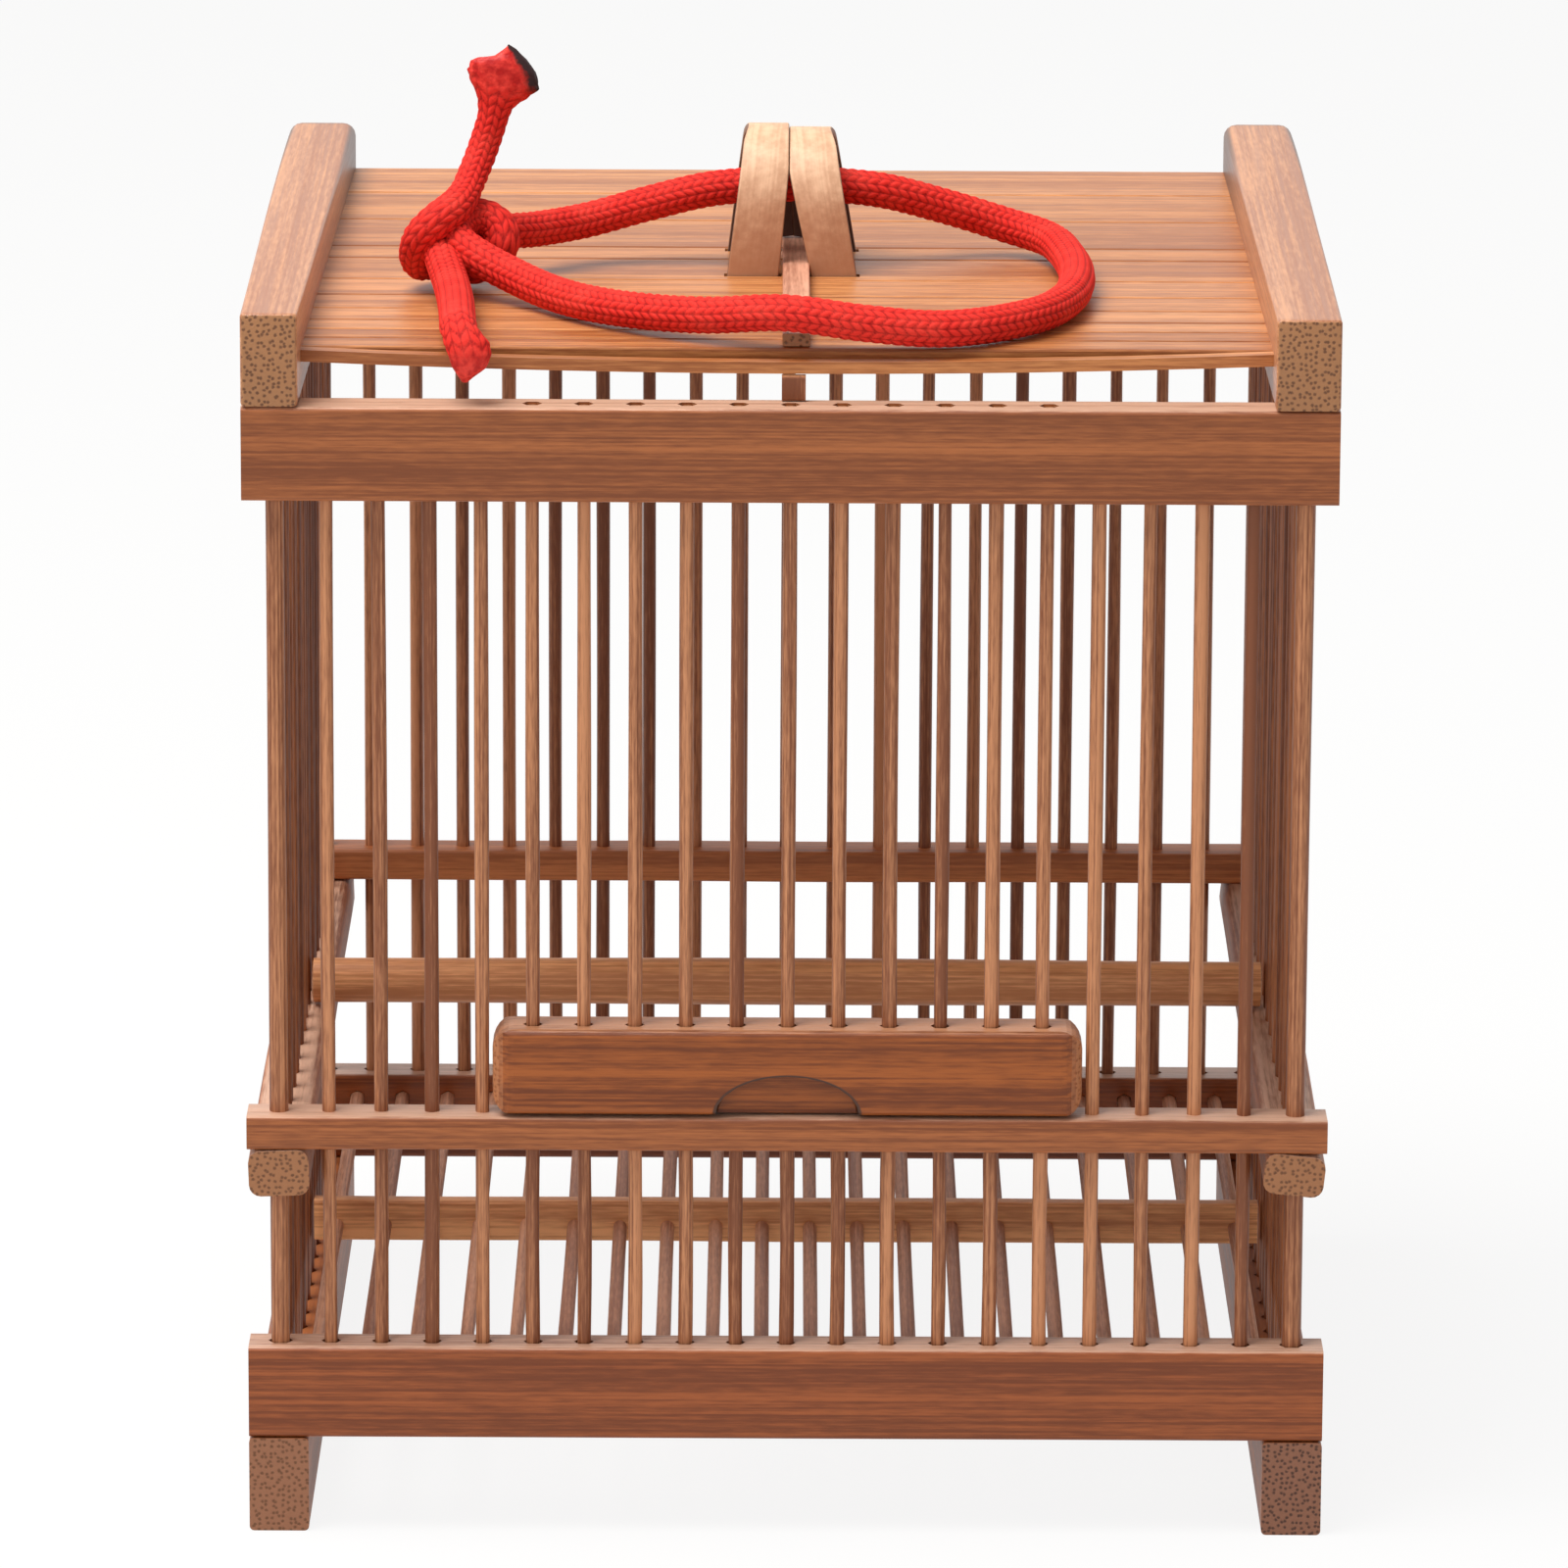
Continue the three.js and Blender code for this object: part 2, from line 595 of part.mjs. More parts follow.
// The front stick sags and bows forward a little in its middle.
function frontStick(width) {
  const half = slatLength / 2;
  const path = new THREE.QuadraticBezierCurve3(
    new THREE.Vector3(-half, 0, 0),
    new THREE.Vector3(0, -2 * FRONT_SLAT_BOW, -2 * FRONT_SLAT_SAG),
    new THREE.Vector3(half, 0, 0),
  );
  const section = new THREE.Shape([
    new THREE.Vector2(-width / 2, -SLAT_THICKNESS / 2),
    new THREE.Vector2(width / 2, -SLAT_THICKNESS / 2),
    new THREE.Vector2(width / 2, SLAT_THICKNESS / 2),
    new THREE.Vector2(-width / 2, SLAT_THICKNESS / 2),
  ]);
  return new THREE.ExtrudeGeometry(section, {
    steps: FRONT_SLAT_STEPS,
    extrudePath: path,
    bevelEnabled: false,
  });
}

addPart(
  roof,
  "roof_front_stick",
  frontStick(FRONT_STICK_WIDTH),
  PALE_BAMBOO,
  0,
  stickFront + FRONT_STICK_WIDTH / 2,
  slatBase + SLAT_THICKNESS / 2,
);
const slatsFront = stickFront + FRONT_STICK_WIDTH + SLAT_JOINT;
const roomForSlats = slatsBack - slatsFront - (SLAT_WIDTHS.length - 1) * SLAT_JOINT;
const slatShare = roomForSlats / SLAT_WIDTHS.reduce((sum, width) => sum + width, 0);
const slats = [];
let slatEdge = slatsFront;
for (const fullWidth of SLAT_WIDTHS) {
  const width = fullWidth * slatShare;
  slats.push({ width, frontEdge: slatEdge, middle: slatEdge + width / 2, backEdge: slatEdge + width });
  slatEdge += width + SLAT_JOINT;
}

// The hoops' legs stand in mortises through two of the slats.
const hoopFront = slats[FRONT_LEG_SLAT].frontEdge + FRONT_LEG_INSET;
const hoopBack = slats[BACK_LEG_SLAT].backEdge - BACK_LEG_INSET;
const hoopLegPlaces = [hoopFront + HOOP_THICKNESS / 2, hoopBack - HOOP_THICKNESS / 2];

function legMortises(slatMiddle) {
  const cutters = [];
  for (const hoop of Object.values(HOOPS))
    for (const legPlace of hoopLegPlaces) {
      const mortise = new THREE.BoxGeometry(
        hoop.footWidth + 2 * HOOP_CLEARANCE,
        HOOP_THICKNESS + 2 * HOOP_CLEARANCE,
        SLAT_THICKNESS + 2 * past,
      );
      cutters.push(toSolid(mortise.translate(hoop.foot, legPlace - slatMiddle, SLAT_THICKNESS / 2)));
    }
  return joinAll(cutters);
}
slats.forEach(({ width, middle }, i) => {
  const slat = toSolid(stripAlongX(width, SLAT_THICKNESS, slatLength, SLAT_EDGE, 1));
  addPart(
    roof,
    `roof_slat_${i + 1}`,
    slat.subtract(legMortises(middle)),
    PALE_BAMBOO,
    0,
    middle,
    slatBase,
  );
});

// Small peg that props the front stick off the top rail.
const pegHeight = slatBase - FRONT_SLAT_SAG - topRailTop - 2 * STACK_GAP;
const pegMiddle = front + RAIL_DEPTH - PEG_DEPTH / 2;
addPart(
  roof,
  "front_stick_peg",
  stripAlongX(PEG_DEPTH, pegHeight, PEG_WIDTH, PEG_EDGE, 1),
  BAR_BAMBOO,
  PEG_FROM_CENTRE,
  pegMiddle,
  topRailTop + STACK_GAP,
);

const battenFront = slatsFront + BATTEN_END_INSET;
const battenBack = slatsBack - BATTEN_END_INSET;
addPart(
  roof,
  "roof_batten",
  stripAlongY(BATTEN_WIDTH, BATTEN_THICKNESS, battenBack - battenFront, SLAT_EDGE),
  PALE_BAMBOO,
  BATTEN_FROM_CENTRE,
  (battenFront + battenBack) / 2,
  slatTop + STACK_GAP,
);

// Handle: two strips bent over, leaning on each other at the top.
const handle = addGroup("handle");

function hoopOutline() {
  const outer = (hoopBack - hoopFront) / 2;
  const inner = outer - HOOP_THICKNESS;
  const springing = HOOP_HEIGHT - outer;
  const foot = -SLAT_THICKNESS - HOOP_LEG_BELOW;
  const shape = new THREE.Shape();
  shape.moveTo(outer, foot);
  shape.lineTo(outer, springing);
  shape.absarc(0, springing, outer, 0, Math.PI);
  shape.lineTo(-outer, foot);
  shape.lineTo(-inner, foot);
  shape.lineTo(-inner, springing);
  shape.absarc(0, springing, inner, Math.PI, 0, true);
  shape.lineTo(inner, foot);
  return shape;
}

function hoop({ foot, top, footWidth, topWidth }) {
  const strip = new THREE.ExtrudeGeometry(hoopOutline(), {
    depth: 1,
    bevelEnabled: false,
    curveSegments: HOOP_ARC_STEPS,
  });
  strip.translate(0, 0, -0.5).rotateX(Math.PI / 2).rotateZ(Math.PI / 2);
  const position = strip.attributes.position;
  for (let i = 0; i < position.count; i++) {
    const rise = position.getZ(i) / HOOP_HEIGHT;
    const width = footWidth + (topWidth - footWidth) * rise;
    position.setX(i, foot + (top - foot) * rise + position.getX(i) * width);
  }
  return strip;
}
const hoopMiddle = (hoopFront + hoopBack) / 2;
for (const [name, shape] of Object.entries(HOOPS))
  addPart(handle, name, hoop(shape), PALE_BAMBOO, 0, hoopMiddle, slatTop);

// Cord: a loop laid on the roof through both hoops, and a knot with two short tails.
const cordGroup = addGroup("cord");
const LOOP_POINTS = [
  [-28.6, -23.2, 125.2],
  [-24.7, -29.6, 124.8],
  [-20.6, -35, 124.8],
  [-14.7, -40.4, 124.9],
  [-8.4, -44.7, 125.3],
  [-0.5, -48, 126.2],
  [7.4, -48.6, 125.3],
  [14.3, -47.8, 124.8],
  [19.2, -45.5, 124.8],
  [24.8, -39.8, 124.8],
  [28, -32.1, 124.8],
  [29.5, -20.9, 124.8],
  [29, -9.1, 124.8],
  [26.9, -0.2, 125],
  [22.6, 2.6, 125.9],
  [16, 1.5, 128.1],
  [8.7, -1, 130.3],
  [-0.2, -1.5, 130.9],
  [-8.1, -1.6, 130.4],
  [-15, -1.8, 128.8],
  [-21.3, -3.1, 127],
  [-28.9, -9.1, 126.5],
];
const UPPER_TAIL_POINTS = [
  [-32.8, -13.6, 134],
  [-32.2, -12.9, 135.4],
  [-31.4, -13.1, 138],
  [-30.6, -13.4, 141],
  [-29.9, -14.1, 144],
  [-29.4, -14.3, 146.8],
];
const LOWER_TAIL_POINTS = [
  [-34.7, -25, 125.1],
  [-34.4, -35, 124.9],
  [-33.8, -42.5, 124.9],
  [-33.3, -48.5, 124.9],
  [-33, -53.5, 125.1],
];
const TIP_TOP = [-32.8, -53.4, 125.2];
const KNOT_MIDDLE = [-34, -17.2, 128.6];

function curveThrough(points) {
  return new THREE.CatmullRomCurve3(points.map((p) => new THREE.Vector3(...p)));
}

function cordSection() {
  const shape = new THREE.Shape();
  for (let i = 0; i < CORD_SIDES; i++) {
    const turn = (2 * Math.PI * i) / CORD_SIDES;
    const x = (CORD_DIAMETER / 2) * Math.cos(turn);
    const y = (CORD_DIAMETER / 2) * Math.sin(turn);
    if (i === 0) shape.moveTo(x, y);
    else shape.lineTo(x, y);
  }
  return shape;
}

function tube(points, steps) {
  return new THREE.ExtrudeGeometry(cordSection(), {
    steps,
    extrudePath: curveThrough(points),
    bevelEnabled: false,
  });
}
addPart(cordGroup, "carry_cord", tube(LOOP_POINTS, CORD_STEPS), CORD_RED);
addPart(cordGroup, "cord_upper_tail", tube(UPPER_TAIL_POINTS, TAIL_STEPS), CORD_RED);

// The lower tail ends in a melted tip that points down over the roof's front edge.
function lowerTip() {
  const shape = new THREE.Shape();
  shape.moveTo(0, -TIP_LENGTH);
  shape.lineTo(TIP_WIDTH / 2, -TIP_LENGTH / 3);
  shape.lineTo(TIP_NECK / 2, 0);
  shape.lineTo(-TIP_NECK / 2, 0);
  shape.lineTo(-TIP_WIDTH / 2, -TIP_LENGTH / 3);
  const tip = new THREE.ExtrudeGeometry(shape, { depth: TIP_THICKNESS, bevelEnabled: false });
  return tip.translate(0, 0, -TIP_THICKNESS / 2).rotateX(Math.PI / 2);
}
const tailAndTip = toSolid(tube(LOWER_TAIL_POINTS, TAIL_STEPS)).add(
  toSolid(lowerTip().translate(...TIP_TOP)),
);
addPart(cordGroup, "cord_lower_tail", tailAndTip, CORD_RED);

const knot = new THREE.SphereGeometry(1, KNOT_SIDES, KNOT_RINGS).rotateX(Math.PI / 2);
knot.scale(...KNOT_RADII);
const knotSolid = toSolid(knot.translate(...KNOT_MIDDLE));
addPart(cordGroup, "cord_knot", knotSolid, CORD_RED);

export default cage;
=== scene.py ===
import math
import random

import bpy
import numpy as np
from mathutils import Matrix, Vector


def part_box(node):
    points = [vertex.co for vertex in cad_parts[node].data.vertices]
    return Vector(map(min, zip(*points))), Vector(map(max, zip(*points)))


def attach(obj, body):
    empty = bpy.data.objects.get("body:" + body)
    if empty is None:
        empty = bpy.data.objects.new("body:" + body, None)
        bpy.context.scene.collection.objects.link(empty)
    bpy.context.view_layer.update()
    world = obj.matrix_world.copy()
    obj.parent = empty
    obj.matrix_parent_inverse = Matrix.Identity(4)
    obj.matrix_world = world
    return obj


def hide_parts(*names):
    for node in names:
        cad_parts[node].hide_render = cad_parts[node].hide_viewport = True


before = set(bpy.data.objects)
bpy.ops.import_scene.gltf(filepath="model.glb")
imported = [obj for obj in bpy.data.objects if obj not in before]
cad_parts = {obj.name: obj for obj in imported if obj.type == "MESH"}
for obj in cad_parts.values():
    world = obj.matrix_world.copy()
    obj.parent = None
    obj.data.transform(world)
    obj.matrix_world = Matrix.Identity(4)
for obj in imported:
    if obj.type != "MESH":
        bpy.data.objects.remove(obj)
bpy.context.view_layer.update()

# Camera. It stands a metre in front of the cage and a little above it, and looks down through
# a long lens, so that the cage's sides stay nearly parallel.
EYE = Vector((-0.0015, -1.0212, 0.3163))
YAW, PITCH, ROLL = (math.radians(angle) for angle in (0.06, 13.786, 0.285))
LENS_MM = 226.5

level = Vector((math.cos(YAW), -math.sin(YAW), 0))
ahead = Vector((math.sin(YAW) * math.cos(PITCH), math.cos(YAW) * math.cos(PITCH), -math.sin(PITCH)))
above = level.cross(ahead)
rightward = math.cos(ROLL) * level + math.sin(ROLL) * above
upward = math.cos(ROLL) * above - math.sin(ROLL) * level
camera = bpy.data.objects.new("camera", bpy.data.cameras.new("camera"))
camera.data.lens = LENS_MM
turned = Matrix((rightward, upward, -ahead)).transposed().to_4x4()
camera.matrix_world = Matrix.Translation(EYE) @ turned
bpy.context.scene.collection.objects.link(camera)
bpy.context.scene.camera = camera
bpy.context.scene.view_settings.view_transform = "Standard"

# Cord. One length of red braided cord goes through both hoops, lies on the roof in a long loop
# and is tied to itself at the left. A flame sealed both of its ends: the lower one is drawn out
# to a point over the roof's edge, and the upper one spread out and burnt at its rim.
CORD_DIAMETER_MM = 3.8
BRAID_COLUMNS = 14  # columns of stitches round the cord, which lean left and right by turns
STITCH_LENGTH_MM = 1.05
STITCH_LEAN = 0.35  # of a stitch's length, from its middle to the side of its column
STITCH_FULLNESS = 0.7  # below 1 a stitch is fuller than a wave
COLUMN_ROUNDNESS = 0.9  # how far a column falls off at its sides
BRAID_DEPTH_MM = 0.2
SEALED_FLATNESS = 0.8  # how far the braid is gone where it has melted
BURN_EDGE = 1.2  # above 1 the burnt side is narrower
CORD_SIDES = 84
CORD_STEP_MM = 0.2
CURVE_SAMPLES = 40  # of the smooth curve, between two given points
UPPER_TAIL_SHARE = 0.86  # the upper tail is pulled thinner than the rest
UPPER_TAIL_NECK_MM = (20, 16)  # from the tip, where it begins to thin and is thin
LOWER_TAIL_MM = [
    (-33.3, -50.6, 125), (-33.5, -47.5, 124.8), (-33.7, -42.5, 124.6), (-34.1, -35, 124.6),
    (-34.7, -28.5, 125), (-35.4, -24.2, 125.9),
]
KNOT_FRONT_MM = [
    (-36, -21, 126.8), (-36.2, -18.4, 126.6), (-35.2, -16.4, 125.4), (-33, -15.8, 124.7),
    (-30.9, -16.2, 125.6), (-29.9, -16.5, 127.4), (-30.4, -15.7, 129), (-32, -15.2, 129.8),
    (-33.9, -16.2, 129.6), (-34.8, -18.2, 128.9), (-34.2, -20.4, 128), (-32.2, -22.2, 126.9),
]
LOOP_MM = [
    (-28.9, -24.6, 125.6), (-24.7, -29.6, 124.7), (-20.6, -35, 124.6), (-14.7, -40.4, 124.8),
    (-8.4, -44.7, 125.3), (-0.5, -48, 126.2), (7.4, -48.6, 125.3), (14.3, -47.8, 124.6),
    (19.2, -45.5, 124.5), (24.8, -39.8, 124.5), (28, -32.1, 124.5), (29.5, -20.9, 124.5),
    (29, -9.1, 124.6), (26.9, -0.2, 125), (22.6, 2.6, 125.9), (16, 1.5, 128.1), (8.7, -1, 130.3),
    (-0.2, -1.5, 130.9), (-8.1, -1.6, 130.4), (-15, -1.8, 128.8), (-21.3, -3.3, 127.3),
    (-26.6, -7.6, 127.1),
]
KNOT_BACK_MM = [
    (-30.4, -11.6, 127.4), (-33.8, -13.4, 126.4), (-36.6, -14.8, 125.3), (-38.3, -17, 125.3),
    (-38.6, -19.2, 126.9), (-38, -20.7, 128.8), (-36.5, -20.9, 130.4), (-34.9, -19.4, 131.4),
]
UPPER_TAIL_MM = [
    (-33.8, -17.2, 132.5), (-33, -15.4, 134.1), (-32.2, -14.2, 136), (-31.5, -13.7, 138),
    (-30.9, -13.7, 140),
]
# The ends, from tube to tip: middle, half of the width and half of the depth, each (x, y, z),
# how far the braid has run together there, and how far its right side is burnt.
LOWER_END_MM = [
    ((-33.2, -51.6, 125), (1.78, 0, 0), (0, -0.45, 1.62), 0.1, 0),
    ((-32.9, -52.6, 124.7), (2.0, 0, 0.05), (0, -1.05, 1.25), 0.25, 0),
    ((-32.4, -53.3, 123.9), (2.35, 0, 0.1), (0, -1.4, 0.55), 0.4, 0),
    ((-32.1, -53.6, 122.8), (2.2, 0, 0.05), (0, -1.4, 0.05), 0.6, 0),
    ((-32.2, -53.6, 121.7), (1.75, 0, -0.1), (0, -1.15, 0), 0.8, 0.1),
    ((-32.5, -53.5, 120.8), (1.0, 0, -0.1), (0, -0.85, 0), 1, 0.2),
    ((-32.6, -53.5, 120.1), (0.3, 0, 0), (0, -0.3, 0), 1, 0.4),
]
UPPER_END_MM = [
    ((-30.7, -13.8, 141.1), (1.8, 0, -0.45), (0, 1.55, 0), 0.1, 0),
    ((-30.5, -13.9, 142), (2.15, 0, -0.65), (0, 1.55, 0), 0.3, 0),
    ((-30.3, -14, 143), (2.95, 0, -1), (0, 1.45, 0), 0.5, 0.35),
    ((-29.8, -14.1, 144.1), (3.75, 0, -1.05), (0, 1.3, 0), 0.7, 0.8),
    ((-29.8, -14.2, 145.4), (3.4, 0, -0.6), (0, 1.15, 0), 0.85, 1),
    ((-29.9, -14.2, 146.2), (2.55, 0, -0.1), (0, 0.9, 0), 1, 1.1),
    ((-29.7, -14.2, 146.8), (1.25, 0, 0.45), (0, 0.5, 0), 1, 1.2),
    ((-29.4, -14.2, 147.5), (0.15, 0, 0.2), (0, 0.15, 0), 1, 1.5),
]


def smooth_route(points, step):
    """Points at an even step along a smooth curve through the given ones, in the same unit."""
    given = np.array(points, float)
    given = np.vstack([2 * given[0] - given[1], given, 2 * given[-1] - given[-2]])
    knots = np.concatenate([[0], np.cumsum(np.linalg.norm(np.diff(given, axis=0), axis=1) ** 0.5)])
    curve = []
    for i in range(1, len(given) - 2):
        for t in np.linspace(knots[i], knots[i + 1], CURVE_SAMPLES, endpoint=False):
            row = given[i - 1 : i + 3]
            at = knots[i - 1 : i + 3]
            # Three rounds of sharing out between neighbours, the last two over a wider span.
            for start, span in ((0, 1), (0, 2), (1, 1)):
                pairs = [(at[start + k], at[start + k + span]) for k in range(len(row) - 1)]
                share = [(t - low) / (high - low) for low, high in pairs]
                row = [(1 - s) * row[k] + s * row[k + 1] for k, s in enumerate(share)]
            curve.append(row[0])
    curve = np.array(curve + [given[-2]])
    length = np.concatenate([[0], np.cumsum(np.linalg.norm(np.diff(curve, axis=0), axis=1))])
    even = np.linspace(0, length[-1], max(2, round(length[-1] / step)) + 1)
    return np.stack([np.interp(even, length, curve[:, axis]) for axis in range(3)], axis=1)


def directions(path):
    """At each point of a path its direction and two square to it, turned as little as can be."""
    forward = np.gradient(path, axis=0)
    forward /= np.linalg.norm(forward, axis=1)[:, None]
    side = np.cross(forward[0], (0, 0, 1) if abs(forward[0][2]) < 0.9 else (0, 1, 0))
    sides = []
    for direction in forward:
        side = side - direction * side.dot(direction)
        side = side / np.linalg.norm(side)
        sides.append(side)
    return forward, np.array(sides), np.cross(forward, sides)


def lofted(rings):
    """The closed skin over rings of equally many points, as (points, faces)."""
    count, sides = len(rings), len(rings[0])
    faces = [
        (near + j, near + (j + 1) % sides, near + sides + (j + 1) % sides, near + sides + j)
        for near in range(0, (count - 1) * sides, sides)
        for j in range(sides)
    ]
    faces.append(tuple(reversed(range(sides))))
    faces.append(tuple((count - 1) * sides + j for j in range(sides)))
    return np.asarray(rings, float).reshape(-1, 3), faces


def make_piece(name, parts, body, replaced, sharp_degrees=35, marks=None):
    """One piece of one or more (points in mm, faces, material) parts, on a body of the cage.

    It takes the place of the named CAD pieces. Marks are values that its points carry for the
    material, and each part carries a tone of its own.
    """
    points, faces, owners = [], [], []
    materials = []
    for part_points, part_faces, material in parts:
        if material not in materials:
            materials.append(material)
        offset = sum(len(p) for p in points)
        points.append(part_points)
        faces += [tuple(offset + i for i in face) for face in part_faces]
        owners += [materials.index(material)] * len(part_faces)
    mesh = bpy.data.meshes.new(name)
    mesh.from_pydata((np.vstack(points) / 1000).tolist(), [], faces)
    for material in materials:
        mesh.materials.append(material)
    mesh.polygons.foreach_set("material_index", owners)
    mesh.polygons.foreach_set("use_smooth", [True] * len(faces))
    mesh.set_sharp_from_angle(angle=math.radians(sharp_degrees))
    tones = random.Random(name)
    tone = np.concatenate([np.full(len(p), tones.random()) for p in points])
    for mark, values in {"tone": tone, **(marks or {})}.items():
        kind, field = ("FLOAT_VECTOR", "vector") if np.shape(values)[-1] == 3 else ("FLOAT", "value")
        mesh.attributes.new(mark, kind, "POINT").data.foreach_set(field, np.float32(values).ravel())
    mesh.update()
    made = bpy.data.objects.new(name, mesh)
    bpy.context.scene.collection.objects.link(made)
    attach(made, body)
    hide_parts(*replaced)
    return made


def paint(red, green, blue):
    """A colour as seen on a screen, 0 to 255, for a shader's socket, which wants it linear."""
    shown = [c / 255 for c in (red, green, blue)]
    return (*(((c + 0.055) / 1.055) ** 2.4 if c > 0.04045 else c / 12.92 for c in shown), 1)


class Wire:
    """An output of a shader node that can stand in a sum."""

    def __init__(self, finish, socket):
        self.finish = finish
        self.socket = socket

    def combine(self, operation, first, second):
        return self.finish.node("Math", {"operation": operation}, {0: first, 1: second})

    def __add__(self, other):
        return self.combine("ADD", self, other)

    def __radd__(self, other):
        return self.combine("ADD", other, self)

    def __sub__(self, other):
        return self.combine("SUBTRACT", self, other)

    def __rsub__(self, other):
        return self.combine("SUBTRACT", other, self)

    def __mul__(self, other):
        return self.combine("MULTIPLY", self, other)

    def __rmul__(self, other):
        return self.combine("MULTIPLY", other, self)

    def __abs__(self):
        return self.finish.node("Math", {"operation": "ABSOLUTE"}, {0: self})


class Finish:
    """The nodes of a material or of the world while they are put together."""

    def __init__(self, owner):
        self.owner = owner
        owner.use_nodes = True
        self.tree = owner.node_tree
        self.tree.nodes.clear()

    def node(self, kind, settings=None, sockets=None, output=None):
        """Adds a node with these settings and socket values, and gives one of its outputs."""
        made = self.tree.nodes.new("ShaderNode" + kind)
        for name, value in (settings or {}).items():
            setattr(made, name, value)
        for name, value in (sockets or {}).items():
            if isinstance(name, int):
                socket = made.inputs[name]
            else:
                socket = next(s for s in made.inputs if s.enabled and s.name == name)
            if isinstance(value, Wire):
                self.tree.links.new(value.socket, socket)
            else:
                socket.default_value = value
        shown = [s for s in made.outputs if s.enabled]
        return Wire(self, next((s for s in shown if s.name == output), shown[0])) if shown else None

    def between(self, low, high, share):
        """A colour between two others."""
        return self.node("Mix", {"data_type": "RGBA"}, {"Factor": share, "A": low, "B": high}, "Result")

    def ramp(self, value, start, end, low=0, high=1):
        """Takes a value's range from start..end to low..high, and holds it there."""
        sockets = {"Value": value, "From Min": start, "From Max": end, "To Min": low, "To Max": high}
        return self.node("MapRange", {"interpolation_type": "SMOOTHSTEP"}, sockets, "Result")

    def mark(self, name, output="Fac"):
        """A value that the mesh carries at its points."""
        return self.node("Attribute", {"attribute_name": name}, output=output)

    def noise(self, vector, scale, detail=2, roughness=0.5):
        """Clouds from 0 to 1, most of them near 0.5."""
        sockets = {"Vector": vector, "Scale": scale, "Detail": detail, "Roughness": roughness}
        return self.node("TexNoise", {}, sockets)

    def part(self, vector, axis):
        """One of a vector's three numbers."""
        return self.node("SeparateXYZ", {}, {0: vector}, axis)

    def facing(self, axis):
        """How far the surface faces along an axis, from -1 to 1."""
        return self.part(self.node("TexCoord", output="Normal"), axis)

    def dents(self, height, depth_mm, strength):
        """The normal of a surface with this height, from 0 to 1 over a depth in millimetres."""
        return self.node("Bump", {}, {"Strength": strength, "Distance": depth_mm / 1000, "Height": height})

    def finished(self, **sockets):
        """Ends the material in a Principled shader with these socket values."""
        titles = {name: name.replace("_", " ").title().replace("Ior", "IOR") for name in sockets}
        shader = self.node("BsdfPrincipled", {}, {titles[name]: sockets[name] for name in sockets})
        self.node("OutputMaterial", {}, {"Surface": shader})
        return self.owner


def material(name):
    return Finish(bpy.data.materials.new(name))


def braid_finish():
    """Red braid: painted shade in deep red between its stitches, run together and darker where a flame sealed
    it.
    """
    finish = material("cord_braid")
    stitch = finish.mark("stitch_height")
    melted = finish.mark("melted")
    burnt = finish.mark("burnt")
    place = finish.node("TexCoord", output="Object")
    cloudy = finish.noise(place, 350)
    lumps = finish.noise(place, 1100, 3)
    fuzz = finish.noise(place, 7000, 3)
    # Painted shade: where the braid sinks between its stitches it is painted deep red.
    shaded_thread = finish.between(paint(156, 10, 6), paint(226, 42, 32), finish.ramp(stitch, 0.1, 0.75))
    wear = finish.ramp(cloudy * 0.6 + fuzz * 0.6, 0.5, 0.9, 0, 0.5)
    lightened = finish.between(shaded_thread, paint(240, 78, 62), wear)
    sealed = finish.between(paint(176, 16, 14), paint(232, 62, 50), finish.ramp(lumps, 0.35, 0.68))
    ragged = (lumps - 0.5) * 0.6
    red = finish.between(lightened, sealed, finish.ramp(melted + ragged, 0.3, 0.8))
    colour = finish.between(red, paint(44, 20, 20), finish.ramp(burnt + ragged, 0.4, 0.75))
    height = fuzz * 0.5 + lumps * finish.ramp(melted, 0.1, 0.8, 0, 3)
    return finish.finished(
        base_color=colour,
        roughness=finish.ramp(melted, 0.2, 1, 0.78, 0.45),
        normal=finish.dents(height, 0.07, 0.7),
        specular_ior_level=0.25,
    )


def nearest(point):
    """The number of the point of the cord's path that is nearest to this one."""
    return int(np.argmin(np.linalg.norm(cord_path - point, axis=1)))


lower_middles = [station[0] for station in LOWER_END_MM]
upper_middles = [station[0] for station in UPPER_END_MM]
route = lower_middles[::-1] + LOWER_TAIL_MM + KNOT_FRONT_MM + LOOP_MM
route += KNOT_BACK_MM + UPPER_TAIL_MM + upper_middles
cord_path = smooth_route(route, CORD_STEP_MM)
cord_forward, cord_side, cord_up = directions(cord_path)
cord_along = np.concatenate([[0], np.cumsum(np.linalg.norm(np.diff(cord_path, axis=0), axis=1))])
neck = cord_along[-1] - np.array(UPPER_TAIL_NECK_MM)
thinning = np.interp(cord_along, neck, (1, UPPER_TAIL_SHARE))
ring_wide = cord_side * CORD_DIAMETER_MM / 2 * thinning[:, None]
ring_deep = cord_up * CORD_DIAMETER_MM / 2 * thinning[:, None]
ring_marks = np.zeros((len(cord_path), 2))
ring_phase = np.zeros(len(cord_path))


